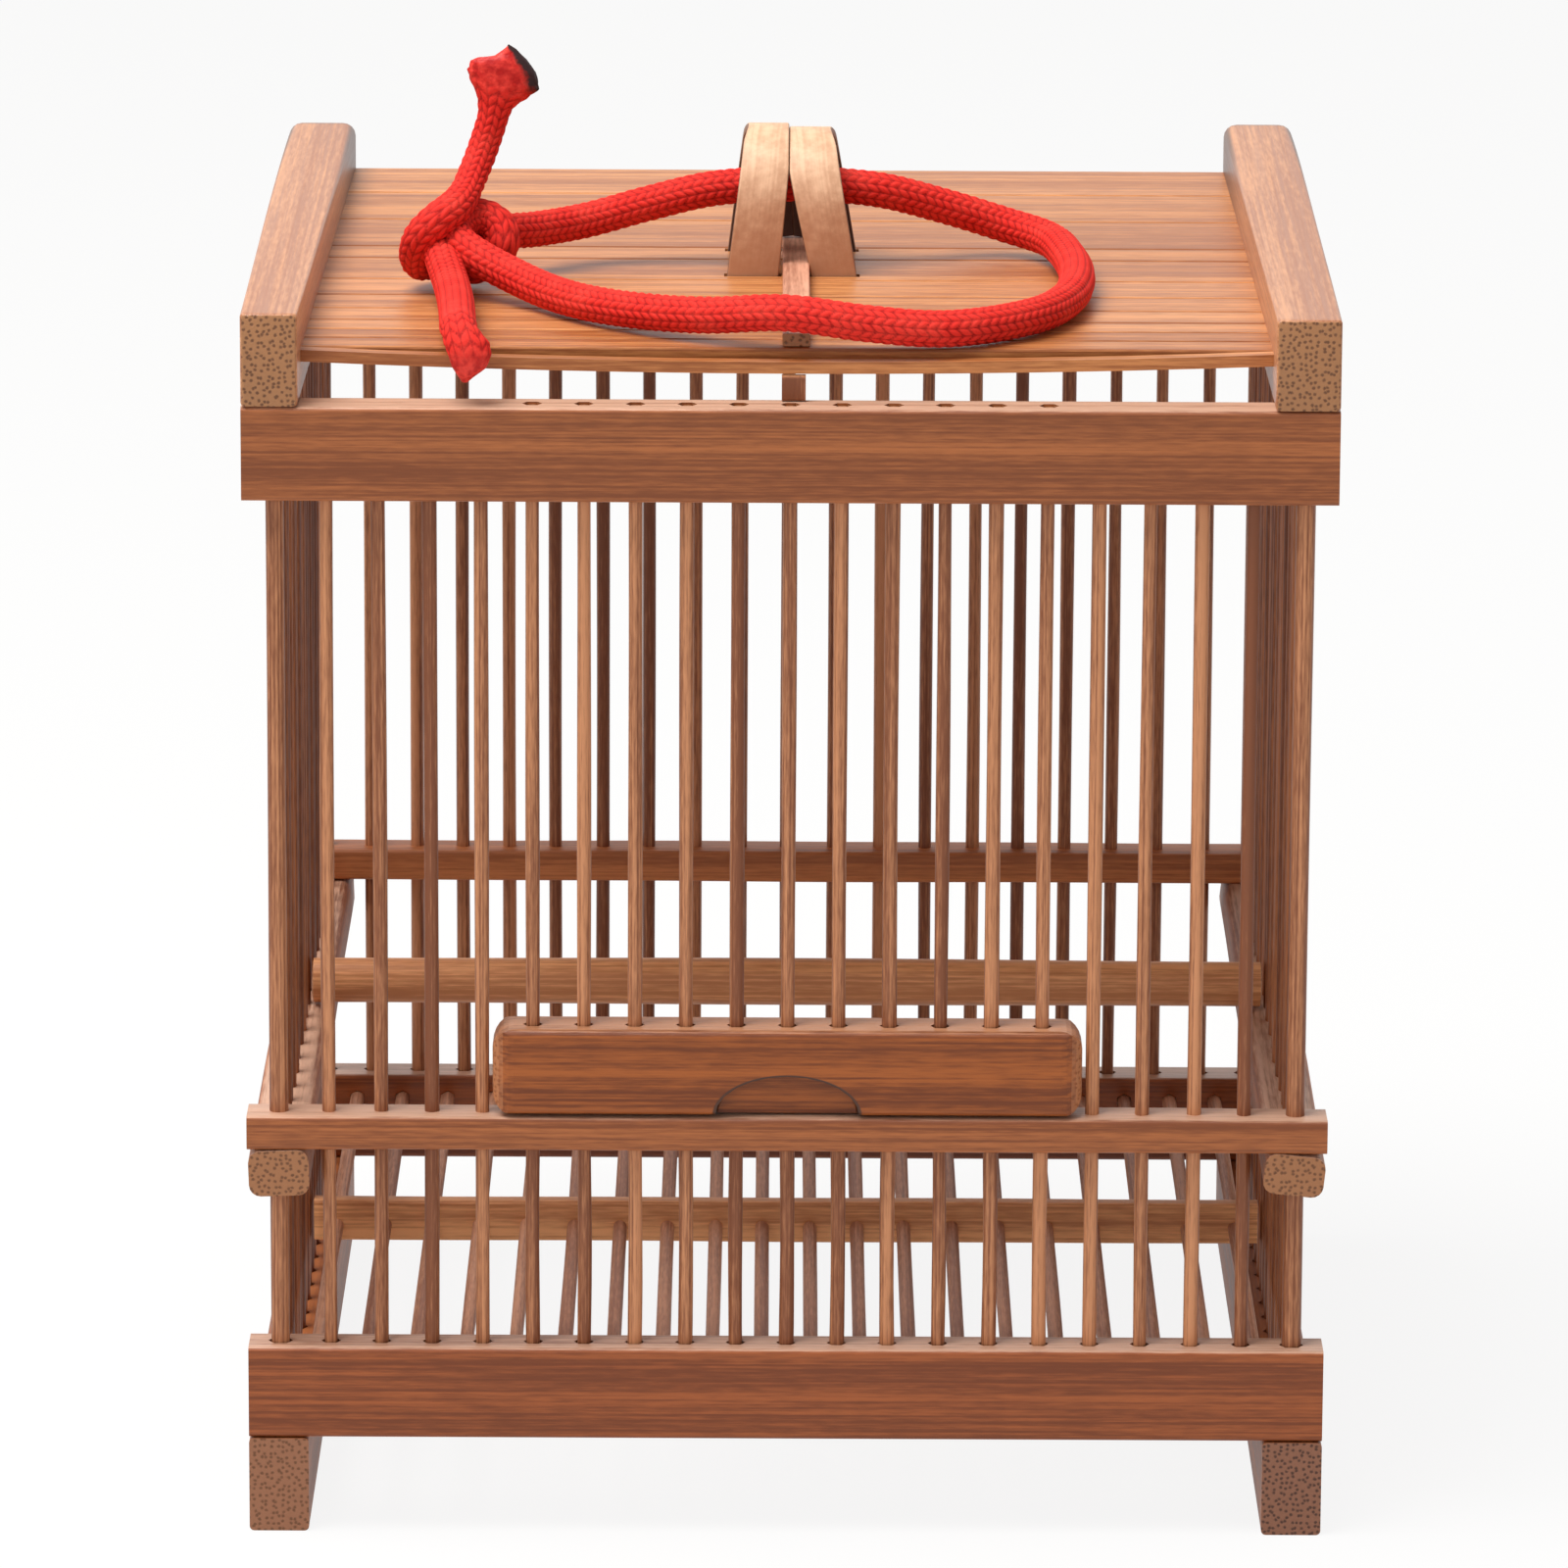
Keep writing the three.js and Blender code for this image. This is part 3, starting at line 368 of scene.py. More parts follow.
def seal(stations, tube_end, last):
    """Shapes the rings from the plain tube to its tip after the stations of a sealed end."""
    middle, wide, deep, melted, burnt = (np.array(column, float) for column in zip(*stations))
    near = [tube_end] + [nearest(point) for point in middle[:-1]] + [last]
    side, up = ring_wide[tube_end], ring_deep[tube_end]
    first = wide[0] / np.linalg.norm(wide[0])
    phase = math.atan2(first.dot(up), first.dot(side))
    if np.cross(wide[0], deep[0]).dot(cord_forward[tube_end]) < 0:
        deep = -deep
    table = np.hstack([
        np.vstack([side, wide * math.cos(phase) - deep * math.sin(phase)]),
        np.vstack([up, wide * math.sin(phase) + deep * math.cos(phase)]),
        np.vstack([[0, 0], np.stack([melted, burnt], axis=1)]),
    ])
    order = np.argsort(near)
    span = np.arange(min(near), max(near) + 1)
    shape = np.stack([np.interp(span, np.array(near)[order], c) for c in table[order].T], axis=1)
    ring_wide[span], ring_deep[span], ring_marks[span] = shape[:, :3], shape[:, 3:6], shape[:, 6:]
    ring_phase[span] = phase


seal(LOWER_END_MM, nearest(LOWER_TAIL_MM[0]), 0)
seal(UPPER_END_MM, nearest(UPPER_TAIL_MM[-1]), len(cord_path) - 1)
turn = np.arange(CORD_SIDES) / CORD_SIDES
column = turn * BRAID_COLUMNS
in_column = 2 * (column % 1) - 1  # from side to side of the column, -1 to 1
lean = np.where(column.astype(int) % 2, STITCH_LEAN, -STITCH_LEAN) * in_column
stitch_wave = np.abs(np.cos(math.pi * (cord_along[:, None] / STITCH_LENGTH_MM + lean)))
stitch_height = stitch_wave**STITCH_FULLNESS * (1 - COLUMN_ROUNDNESS * in_column**2) ** 0.5
flat = SEALED_FLATNESS * np.clip(ring_marks[:, :1], 0, 1)
swell = 1 - 2 * BRAID_DEPTH_MM / CORD_DIAMETER_MM * (1 - stitch_height) * (1 - flat)
angle = 2 * math.pi * turn
round_wide = np.cos(angle)[None, :, None] * ring_wide[:, None, :]
round_deep = np.sin(angle)[None, :, None] * ring_deep[:, None, :]
cord_rings = cord_path[:, None, :] + swell[:, :, None] * (round_wide + round_deep)
right_side = np.clip(np.cos(angle[None, :] - ring_phase[:, None]), 0, 1) ** BURN_EDGE
cord = make_piece(
    "cord",
    [(*lofted(cord_rings), braid_finish())],
    "cage",
    ("carry_cord", "cord_knot", "cord_upper_tail", "cord_lower_tail"),
    sharp_degrees=80,
    marks={
        "stitch_height": stitch_height,
        "melted": np.repeat(ring_marks[:, 0], CORD_SIDES),
        "burnt": ring_marks[:, 1:] * right_side,
    },
)

# Floor and light. A pale floor under a wide soft lamp overhead, with a weaker one in front and
# light from all round, as on a photographer's table.
FLOOR_RADIUS = 4
FLOOR_SHADOW = 0.12  # how much of the floor's own shading the camera sees
SKY_STRENGTH = 0.4  # what lights the cage; the camera and the gloss see white
LIT_PLACE = (0, 0, 0.07)  # both lamps point at the middle of the cage
WHITE = (1, 1, 1, 1)

floor_mesh = bpy.data.meshes.new("floor")
corners = [(FLOOR_RADIUS * x, FLOOR_RADIUS * y, 0) for x, y in ((-1, -1), (1, -1), (1, 1), (-1, 1))]
floor_mesh.from_pydata(corners, [], [(0, 1, 2, 3)])
floor = bpy.data.objects.new("floor", floor_mesh)
bpy.context.scene.collection.objects.link(floor)


def seen_white(finish):
    """1 where the camera looks, straight or by way of gloss or glass."""
    kinds = ("Camera", "Glossy", "Transmission")
    direct, glossy, passed = (finish.node("LightPath", output=f"Is {kind} Ray") for kind in kinds)
    clamped = {"operation": "ADD", "use_clamp": True}
    return finish.node("Math", clamped, {0: direct + glossy, 1: passed})


pale_floor = material("pale_floor")
lit_floor = pale_floor.node("BsdfDiffuse", {}, {"Color": paint(232, 230, 226)})
white_floor = pale_floor.node("Emission", {}, {"Color": WHITE, "Strength": 1})
seen = seen_white(pale_floor) * (1 - FLOOR_SHADOW)
floor_shader = pale_floor.node("MixShader", {}, {0: seen, 1: lit_floor, 2: white_floor})
pale_floor.node("OutputMaterial", {}, {"Surface": floor_shader})
floor_mesh.materials.append(pale_floor.owner)

world = bpy.data.worlds.new("studio")
bpy.context.scene.world = world
studio = Finish(world)
sky_range = {"Value": seen_white(studio), "To Min": SKY_STRENGTH, "To Max": 1}
strength = studio.node("MapRange", {}, sky_range, "Result")
sky = studio.node("Background", {}, {"Color": WHITE, "Strength": strength})
studio.node("OutputWorld", {}, {"Surface": sky})


def soft_lamp(name, place, size, power):
    """A square soft lamp that points at the cage."""
    lamp = bpy.data.objects.new(name, bpy.data.lights.new(name, "AREA"))
    lamp.data.size = size
    lamp.data.energy = power
    lamp.location = place
    lamp.rotation_euler = (Vector(LIT_PLACE) - Vector(place)).to_track_quat("-Z", "Y").to_euler()
    bpy.context.scene.collection.objects.link(lamp)


soft_lamp("overhead_lamp", (-0.3, -0.15, 0.95), size=0.6, power=11.5)
soft_lamp("front_lamp", (-0.35, -0.95, 0.5), size=0.5, power=1.2)

# Bottom rails and runners. Planed strips of thick-walled bamboo, stained brown: two rails lie
# across two runners, which are the cage's feet and show the ends of the fibres.
ALONG_X, ALONG_Y, ALONG_Z = range(3)
FIBRE_LENGTH = 0.012  # fibres are this much finer across than along
PORES_TO_A_FIBRE = 8  # the pores' dashes are this much shorter than the fibres
BUNDLES_PER_MM = 1.7
GRAIN_DEPTH_MM, GRAIN_STRENGTH = 0.1, 0.6


def bamboo(
    name,
    along,
    pale,
    deep,
    end_pale,
    end_deep,
    fibre=1.0,
    gloss=0.5,
    seed=0.0,
    tones=0.0,
    painted_top_light=None,
    sawn=(0.78, 0.92),
    darkening_mask=None,
):
    """Bamboo with its fibres along one axis: streaks on its sides, dots where it was sawn.

    Above 1 fibre makes them finer. Where the piece is a row of sticks, each carries its tone, and
    tones says how far they differ. A colour for the top paints what faces up paler, a painted
    highlight where the light from above falls. Sawn gives from where to where the rounding shows
    its end, and a mask for darkening gives where a darker colour is painted over the bamboo.
    """
    finish = material(name)
    place = finish.node("TexCoord", output="Object")
    scale = [1000 * fibre] * 3
    scale[along] *= FIBRE_LENGTH
    fibres = finish.node("VectorMath", {"operation": "MULTIPLY_ADD"}, {0: place, 1: scale, 2: [seed] * 3})
    fine = finish.noise(fibres, 2.6, 5, 0.65)
    broad = finish.noise(fibres, 0.34, 3)
    shortening = [PORES_TO_A_FIBRE if i == along else 1 for i in range(3)]
    dashes = finish.node("VectorMath", {"operation": "MULTIPLY"}, {0: fibres, 1: shortening})
    pores = finish.noise(dashes, 3.4, 3)
    # The bundles of fibres, as seen in the sawn end, run the whole length of the piece.
    across = [finish.part(place, axis) * 1000 for axis in "XYZ" if axis != "XYZ"[along]]
    section = finish.node("CombineXYZ", {}, {0: across[0], 1: across[1], 2: 0.0})
    spread = {"Vector": section, "Scale": BUNDLES_PER_MM * fibre, "Randomness": 0.8}
    bundles = finish.node("TexVoronoi", {"voronoi_dimensions": "2D"}, spread, "Distance")
    streak = finish.ramp(bundles, 0.36, 0.08)
    tone = 0.5 + ((broad - 0.5) * 1.5 + (fine - 0.5) * 1.3 + (pores - 0.5) * 0.8 - streak * 0.2)
    if tones:
        tone = tone + (finish.mark("tone") - 0.5) * tones
    colour = finish.between(deep, pale, finish.ramp(tone, 0.1, 0.9))
    height = fine * 0.6 + pores * 0.4
    # Painted highlight: what faces up is painted paler, for the light that falls on it from above.
    if painted_top_light:
        lightened = finish.ramp(finish.facing("Z") * 0.8 + tone * 0.4, 0.7, 1.05, 0, 0.8)
        colour = finish.between(colour, painted_top_light, lightened)
    at_end = finish.ramp(abs(finish.facing("XYZ"[along])), *sawn)
    grit = finish.noise(section, 3.2, 3, 0.7)
    dots = finish.ramp(bundles + (grit - 0.5) * 0.3, 0.12, 0.42)
    end = finish.between(end_deep, end_pale, finish.ramp(dots * 0.6 + grit * 0.6, 0.2, 0.95))
    colour = finish.between(colour, end, at_end)
    height = height + dots * at_end * 0.8
    # A darker colour painted where the given mask says: painted shade at the rim of the thumb notch, and the
    # darker back ends of the roof beams.
    if darkening_mask:
        darkened = darkening_mask(finish, place)
        colour = finish.between(colour, DARK_PAINT_COLOUR, darkened)
        height = height - darkened
    return finish.finished(
        base_color=colour,
        roughness=gloss + (fine - 0.5) * 0.25,
        normal=finish.dents(height, GRAIN_DEPTH_MM, GRAIN_STRENGTH),
        specular_ior_level=0.35,
    )


RAIL_PALE, RAIL_DEEP = paint(174, 102, 56), paint(124, 66, 34)
PAINTED_TOP_LIGHT = paint(214, 174, 148)  # painted light: what faces up is painted paler, a highlight where the light from above falls
# The colour of the painted shade round the thumb notch, and of the darker back ends of the roof beams.
DARK_PAINT_COLOUR = paint(76, 46, 32)
END_PALE, END_DEEP = paint(160, 108, 72), paint(108, 68, 42)
rail_bamboo = bamboo(
    "rail_bamboo", ALONG_X, RAIL_PALE, RAIL_DEEP, END_PALE, END_DEEP, gloss=0.36, painted_top_light=PAINTED_TOP_LIGHT
)
bottom_rail_bamboo = bamboo(
    "bottom_rail_bamboo",
    ALONG_X,
    paint(162, 87, 44),
    paint(116, 57, 26),
    END_PALE,
    END_DEEP,
    gloss=0.36,
    seed=51,
    painted_top_light=PAINTED_TOP_LIGHT,
)
runner_bamboo = bamboo(
    "left_runner_bamboo", ALONG_Y, RAIL_PALE, RAIL_DEEP, paint(150, 100, 72), END_DEEP, seed=7
)
dark_runner_bamboo = bamboo(
    "right_runner_bamboo", ALONG_Y, RAIL_PALE, RAIL_DEEP, paint(138, 92, 70), paint(74, 44, 32), seed=8
)
side_rail_bamboo = bamboo(
    "side_rail_bamboo", ALONG_Y, RAIL_PALE, RAIL_DEEP, END_PALE, END_DEEP, seed=9, painted_top_light=PAINTED_TOP_LIGHT
)


def finish_nodes(bamboo_finish, *names):
    """Gives CAD pieces that stay as they are their material."""
    for name in names:
        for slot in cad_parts[name].material_slots:
            slot.material = bamboo_finish


finish_nodes(bottom_rail_bamboo, "front_bottom_rail", "back_bottom_rail")
finish_nodes(rail_bamboo, "front_top_rail", "back_top_rail")
finish_nodes(runner_bamboo, "left_runner")
finish_nodes(dark_runner_bamboo, "right_runner")

# Bars and posts. Round sticks a millimetre and a half thick, drawn through a plate and never
# quite even. They stand in every wall, and a thicker one skewers each corner.
RAIL_LINE_MM = 52.3  # the rails' middles and their bars, from the middle of the cage
POST_LINE_MM = 51.8  # the corner posts and the side walls' bars
BAR_MM, POST_MM = 1.45, 1.9
BAR_GAPS = 20  # gaps between bars, from post to post
POST_ENDS_MM, BAR_ENDS_MM = (4.9, 122.8), (17.6, 111)
STICK_SIDES, STICK_STEP_MM = 14, 4
STICK_WANDER_MM, POST_WANDER_MM = 0.12, 0.05  # how far its middle may stand aside
STICK_UNEVENNESS = (0.02, 0.05)  # from least to most, of its radius
STICK_END_SHARE, STICK_END_MM = 0.8, 0.12  # its ends are eased to this share over this length
STRIP_STEP_MM = 3
STRIP_WAVER_MM, STRIP_WAVES_MM = 0.05, (17, 9, 13, 6)  # how far and how slowly its edges waver
STRIP_END_SHARE = 0.94

front_places = [POST_LINE_MM * (2 * i / BAR_GAPS - 1) for i in range(1, BAR_GAPS)]
side_places = [RAIL_LINE_MM * (2 * i / BAR_GAPS - 1) for i in range(1, BAR_GAPS)]
door_places, fixed_places = front_places[4:15], front_places[:4] + front_places[15:]
chance = random.Random(11)


def stick(start, end, diameter, sides=STICK_SIDES, wander=STICK_WANDER_MM):
    """A round stick from start to end in mm, slightly bent and uneven, with eased ends."""
    start, end = np.array(start, float), np.array(end, float)
    length = np.linalg.norm(end - start)
    rings = max(3, round(length / STICK_STEP_MM))
    path = start + (end - start) * np.linspace(0, 1, rings + 1)[:, None]
    forward, side, up = directions(path)
    bend = chance.uniform(-wander, wander), chance.uniform(-wander, wander)
    phase, swell = chance.uniform(0, math.tau), chance.uniform(*STICK_UNEVENNESS)
    loop = []
    spots = [(0, STICK_END_SHARE)] + [(i, 1) for i in range(rings + 1)] + [(rings, STICK_END_SHARE)]
    for i, size in spots:
        share = i / rings
        arch = math.sin(math.pi * share)
        middle = path[i] + (bend[0] * side[i] + bend[1] * up[i]) * arch
        if size == 1 and i in (0, rings):
            middle = middle + forward[i] * (STICK_END_MM if i == 0 else -STICK_END_MM)
        ring = []
        for j in range(sides):
            a = math.tau * j / sides
            # A little oval, and a little thicker and thinner along its length.
            uneven = swell * math.sin(2 * a + phase) + swell * math.sin(7 * share + phase)
            r = diameter / 2 * size * (1 + uneven)
            ring.append(middle + r * (math.cos(a) * side[i] + math.sin(a) * up[i]))
        loop.append(ring)
    return lofted(loop)


def upright(x, y, ends, diameter=BAR_MM, wander=STICK_WANDER_MM):
    """A stick that stands in a wall, from one level to another."""
    return stick((x, y, ends[0]), (x, y, ends[1]), diameter, wander=wander)


def rounded(width, height, radius, steps=4):
    """Outline of a rectangle with rounded corners about its middle, as (across, up) pairs."""
    outline = []
    for quarter, (right, up) in enumerate(((1, 1), (-1, 1), (-1, -1), (1, -1))):
        corner = right * (width / 2 - radius), up * (height / 2 - radius)
        for k in range(steps + 1):
            a = math.pi / 2 * (quarter + k / steps)
            outline.append((corner[0] + radius * math.cos(a), corner[1] + radius * math.sin(a)))
    return outline


def planed(middle, size, along, radius, slope=0.0, tilt=0):
    """A planed strip of this (x, y, z) size along X or Y, with rubbed edges that waver a little.

    Slope is its climb toward its far end, and tilt its lean in degrees about its own length.
    """
    length = size[along]
    across = size[ALONG_Y] if along == ALONG_X else size[ALONG_X]
    outline = np.array(rounded(across, size[ALONG_Z], radius))
    lean = math.radians(tilt)
    count = round(length / STRIP_STEP_MM)
    phases = [chance.uniform(0, math.tau) for _ in STRIP_WAVES_MM]
    rings = []
    for i in [0] + list(range(count + 1)) + [count]:
        t = (i / count - 0.5) * length
        swing = [STRIP_WAVER_MM * math.sin(t / wave + phase) for wave, phase in zip(STRIP_WAVES_MM, phases)]
        eased = STRIP_END_SHARE if len(rings) in (0, count + 2) else 1
        u = outline[:, 0] * (eased + swing[0] / across) + swing[1] * 0.5
        w = outline[:, 1] * (eased + swing[2] / size[ALONG_Z]) + swing[3] * 0.5 + slope * t
        u, w = u * math.cos(lean) - w * math.sin(lean), w * math.cos(lean) + u * math.sin(lean)
        if along == ALONG_X:
            rings.append(np.stack([np.full_like(u, t), u, w], axis=1) + middle)
        else:
            rings.append(np.stack([-u, np.full_like(u, t), w], axis=1) + middle)
    return lofted(rings)


BAR_PALE, BAR_DEEP = paint(204, 140, 98), paint(126, 72, 44)
STICK_FIBRE = 1.4  # sticks are of finer bamboo than the rails
bar_bamboo = bamboo(
    "bar_bamboo",
    ALONG_Z,
    BAR_PALE,
    BAR_DEEP,
    END_PALE,
    END_DEEP,
    fibre=STICK_FIBRE,
    gloss=0.42,
    seed=3,
    tones=0.5,
)
posts = [
    (*upright(x, y, POST_ENDS_MM, POST_MM, POST_WANDER_MM), bar_bamboo)
    for y in (-RAIL_LINE_MM, RAIL_LINE_MM)
    for x in (-POST_LINE_MM, POST_LINE_MM)
]
make_piece(
    "corner_posts",
    posts,
    "cage",
    [f"{end}_{side}_corner_post" for end in ("front", "back") for side in ("left", "right")],
)
make_piece(
    "front_fixed_bars",
    [(*upright(x, -RAIL_LINE_MM, BAR_ENDS_MM), bar_bamboo) for x in fixed_places],
    "cage",
    [f"front_fixed_bar_{i + 1}" for i in range(len(fixed_places))],
)

# Mid rails. A thin rail goes round the cage above its lower room. Each wall's bars are threaded
# through it, and the side rails climb a little from front to back.
MID_RAIL_MM, MID_RAIL_EDGE_MM = (110, 5.4, 3.5), 0.5
FRONT_MID_LEVEL_MM, BACK_MID_LEVEL_MM = 42.35, 43.95
SHORT_BAR_ENDS_MM, WALL_BAR_ENDS_MM = (17.6, 42), (6.9, 120.7)  # short ones stand under the door
SIDE_RAIL_MM = {"left": (6.2, 110, 4.7), "right": (6.2, 110, 4.2)}
SIDE_RAIL_TOP_MM, SIDE_RAIL_EDGE_MM = 41.3, 1.2  # its top is at this level in its middle
SIDE_RAIL_SLOPE = 1.6 / 104.6
SIDE_RAIL_TILT = {"left": -2, "right": 6}  # degrees, neither lies quite flat

front_middle = (0, -RAIL_LINE_MM, FRONT_MID_LEVEL_MM)
front_mid = [(*planed(front_middle, MID_RAIL_MM, ALONG_X, MID_RAIL_EDGE_MM), rail_bamboo)]
front_mid += [(*upright(x, -RAIL_LINE_MM, SHORT_BAR_ENDS_MM), bar_bamboo) for x in door_places]
make_piece("front_mid_rail_and_bars", front_mid, "cage", ["front_mid_rail"])
back_rail_bamboo = bamboo(
    "back_mid_rail_bamboo", ALONG_X, paint(200, 124, 74), paint(150, 86, 48), END_PALE, END_DEEP, seed=41
)
back_middle = (0, RAIL_LINE_MM, BACK_MID_LEVEL_MM)
back_mid = [(*planed(back_middle, MID_RAIL_MM, ALONG_X, MID_RAIL_EDGE_MM), back_rail_bamboo)]
back_mid += [(*upright(x, RAIL_LINE_MM, BAR_ENDS_MM), bar_bamboo) for x in front_places]
make_piece("back_mid_rail_and_bars", back_mid, "cage", ["back_mid_rail"])
wall_bar_bamboo = bamboo(
    "wall_bar_bamboo",
    ALONG_Z,
    paint(184, 116, 72),
    paint(112, 60, 32),
    END_PALE,
    END_DEEP,
    fibre=STICK_FIBRE,
    seed=61,
    tones=0.4,
)
for side_name, wall_x in (("left", -POST_LINE_MM), ("right", POST_LINE_MM)):
    size = SIDE_RAIL_MM[side_name]
    side_rail = planed(
        (wall_x, 0, SIDE_RAIL_TOP_MM - size[ALONG_Z] / 2),
        size,
        ALONG_Y,
        SIDE_RAIL_EDGE_MM,
        slope=SIDE_RAIL_SLOPE,
        tilt=SIDE_RAIL_TILT[side_name],
    )
    wall = [(*side_rail, side_rail_bamboo)]
    wall += [(*upright(wall_x, y, WALL_BAR_ENDS_MM), wall_bar_bamboo) for y in side_places]
    make_piece(f"{side_name}_wall", wall, "cage", [f"{side_name}_mid_rail"])

# Door. A block with a half-moon for the thumb, and eleven bars that slide up through the holes
# of the front top rail.
THUMB_MM = (7.35, 44.4, 4.2)  # half its width, the foot of the block, and its height
THUMB_LINE = (0.1, 0.04)  # from beside the line to its middle, as shares of the notch
DOOR_BAR_ENDS_MM, DOOR_BAR_WANDER_MM = (49.2, 117.5), 0.07


def thumb_notch_shade(finish, place):
    """Painted shade: a dark line round the rim of the thumb notch, where it falls into shade."""
    across = finish.part(place, "X") * (1000 / THUMB_MM[0])
    up = (finish.part(place, "Z") * 1000 - THUMB_MM[1]) * (1 / THUMB_MM[2])
    return finish.ramp(abs(across * across + up * up - 1), *THUMB_LINE)


door_bamboo = bamboo(
    "door_bamboo",
    ALONG_X,
    paint(164, 88, 36),
    paint(110, 52, 18),
    paint(190, 128, 88),
    paint(158, 98, 62),
    gloss=0.36,
    seed=21,
    # painted highlight: the block's top is painted paler where the light from above falls
    painted_top_light=paint(206, 150, 112),
    sawn=(0.35, 0.95),
    # painted shade in a dark line round the rim of the thumb notch
    darkening_mask=thumb_notch_shade,
)
finish_nodes(door_bamboo, "door_block")
door_bars = [
    (*upright(x, -RAIL_LINE_MM, DOOR_BAR_ENDS_MM, wander=DOOR_BAR_WANDER_MM), bar_bamboo)
    for x in door_places
]
make_piece(
    "door_bars", door_bars, "door", [f"door_bar_{i + 1}" for i in range(len(door_places))]
)

# Perch and floor. A thick round perch lies on the side rails, and the floor is a row of thin
# rods through one upright stretcher.
INSIDE_HALF_MM = 50.775  # half of the perch and the stretcher, which end short of the walls' bars
PERCH_MM, PERCH_SIDES = 4.8, 32
PERCH_Y_MM, PERCH_LEVEL_MM = -0.4, 44
ROD_MM, ROD_COUNT = 1.5, 20
ROD_END_MM, OUTER_ROD_MM = 51, 48.26  # from the middle of the cage
ROD_WANDER_MM = 0.1
FLOOR_LEVEL_MM = 16.9
STRETCHER_MM, STRETCHER_EDGE_MM = (2 * INSIDE_HALF_MM, 2.2, 4.5), 0.4
STRETCHER_LEVEL_MM = 17.4

perch_bamboo = bamboo(
    "perch_bamboo", ALONG_X, paint(244, 178, 122), paint(190, 124, 80), END_PALE, END_DEEP, gloss=0.45, seed=5
)
perch = stick(
    (-INSIDE_HALF_MM, PERCH_Y_MM, PERCH_LEVEL_MM),
    (INSIDE_HALF_MM, PERCH_Y_MM, PERCH_LEVEL_MM),
    PERCH_MM,
    PERCH_SIDES,
    ROD_WANDER_MM,
)
make_piece("perch", [(*perch, perch_bamboo)], "cage", ["perch_rod"])
rod_bamboo = bamboo(
    "rod_bamboo",
    ALONG_Y,
    paint(206, 150, 118),
    paint(150, 98, 74),
    END_PALE,
    END_DEEP,
    fibre=STICK_FIBRE,
    seed=9,
)
stretcher = planed((0, 0, STRETCHER_LEVEL_MM), STRETCHER_MM, ALONG_X, STRETCHER_EDGE_MM)
grille = [(*stretcher, perch_bamboo)]
for number in range(ROD_COUNT):
    x = OUTER_ROD_MM * (2 * number / (ROD_COUNT - 1) - 1)
    front, back = (x, -ROD_END_MM, FLOOR_LEVEL_MM), (x, ROD_END_MM, FLOOR_LEVEL_MM)
    grille.append((*stick(front, back, ROD_MM, wander=ROD_WANDER_MM), rod_bamboo))
make_piece("floor_rods", grille, "cage", ["floor_grille"])

# Roof. Flat slats from thin to wide and a bowed front stick lie in grooves of the two side
# beams, with a batten down the middle and a peg that props the stick. The beams widen toward
# the back, where their ends are rounded over and painted darker, as are their sides near there.
SLAT_LIFTS = (-10, 12)  # a slat is at most this much darker or paler than the roof as a whole

slat_names = [f"roof_slat_{i + 1}" for i in range(11)]
for number, slat_name in enumerate(slat_names + ["roof_front_stick"]):
    lift = chance.uniform(*SLAT_LIFTS)
    finish_nodes(
        bamboo(
            f"{slat_name}_bamboo",
            ALONG_X,
            paint(201 + lift, 132 + lift, 76 + lift),
            paint(141 + lift, 78 + lift, 36 + lift),
            END_PALE,
            END_DEEP,
            gloss=0.4,
            seed=30 + 5 * number,
        ),
        slat_name,
    )
batten_bamboo = bamboo(
    "batten_bamboo", ALONG_Y, paint(220, 160, 130), paint(160, 104, 80), END_PALE, END_DEEP, seed=17
)
finish_nodes(batten_bamboo, "roof_batten")
finish_nodes(bar_bamboo, "front_stick_peg")

BEAM_FOOT_MM = 117.8
BEAM_HALF_LENGTH_MM, BEAM_FRONT_EDGE_MM, BEAM_BACK_EDGE_MM = 55, 0.3, 1.3
BEAM_STRAIGHT_MM = (-54, 53)  # the stretch between the roundings of its ends
BEAM_STATIONS, BEAM_END_STEPS = 36, 6
BEAM_EDGE_MM, BEAM_ROUNDING_MM = 0.35, 1.1  # its long edges, and how much rounder they get on top
BEAM_ROUNDING_RISE = 6  # the higher, the nearer to the back end they get rounder
BEAM_WAVER_MM, BEAM_WAVE_MM = 0.06, 14  # how far and how slowly its top wavers
# For each beam at its front and at its back: the outer side, the inner side and the top.
BEAMS_MM = {
    "left": ((-55, -49.3, 127.25), (-55.3, -48, 127.5)),
    "right": ((55, 48.5, 127), (55.3, 47.8, 127.7)),
}


def beam_back_darkening(finish, place):
    """A darker colour on the back end and on the sides toward it."""
    back = finish.part(place, "Y") * 1000
    rim = finish.ramp(back, BEAM_HALF_LENGTH_MM - 2.4, BEAM_HALF_LENGTH_MM - 0.6, 0, 0.85)
    flank = finish.ramp(back, 10, 48) * finish.ramp(abs(finish.facing("X")), 0.35, 0.8, 0, 0.85)
    return finish.node("Math", {"operation": "MAXIMUM"}, {0: rim, 1: flank})


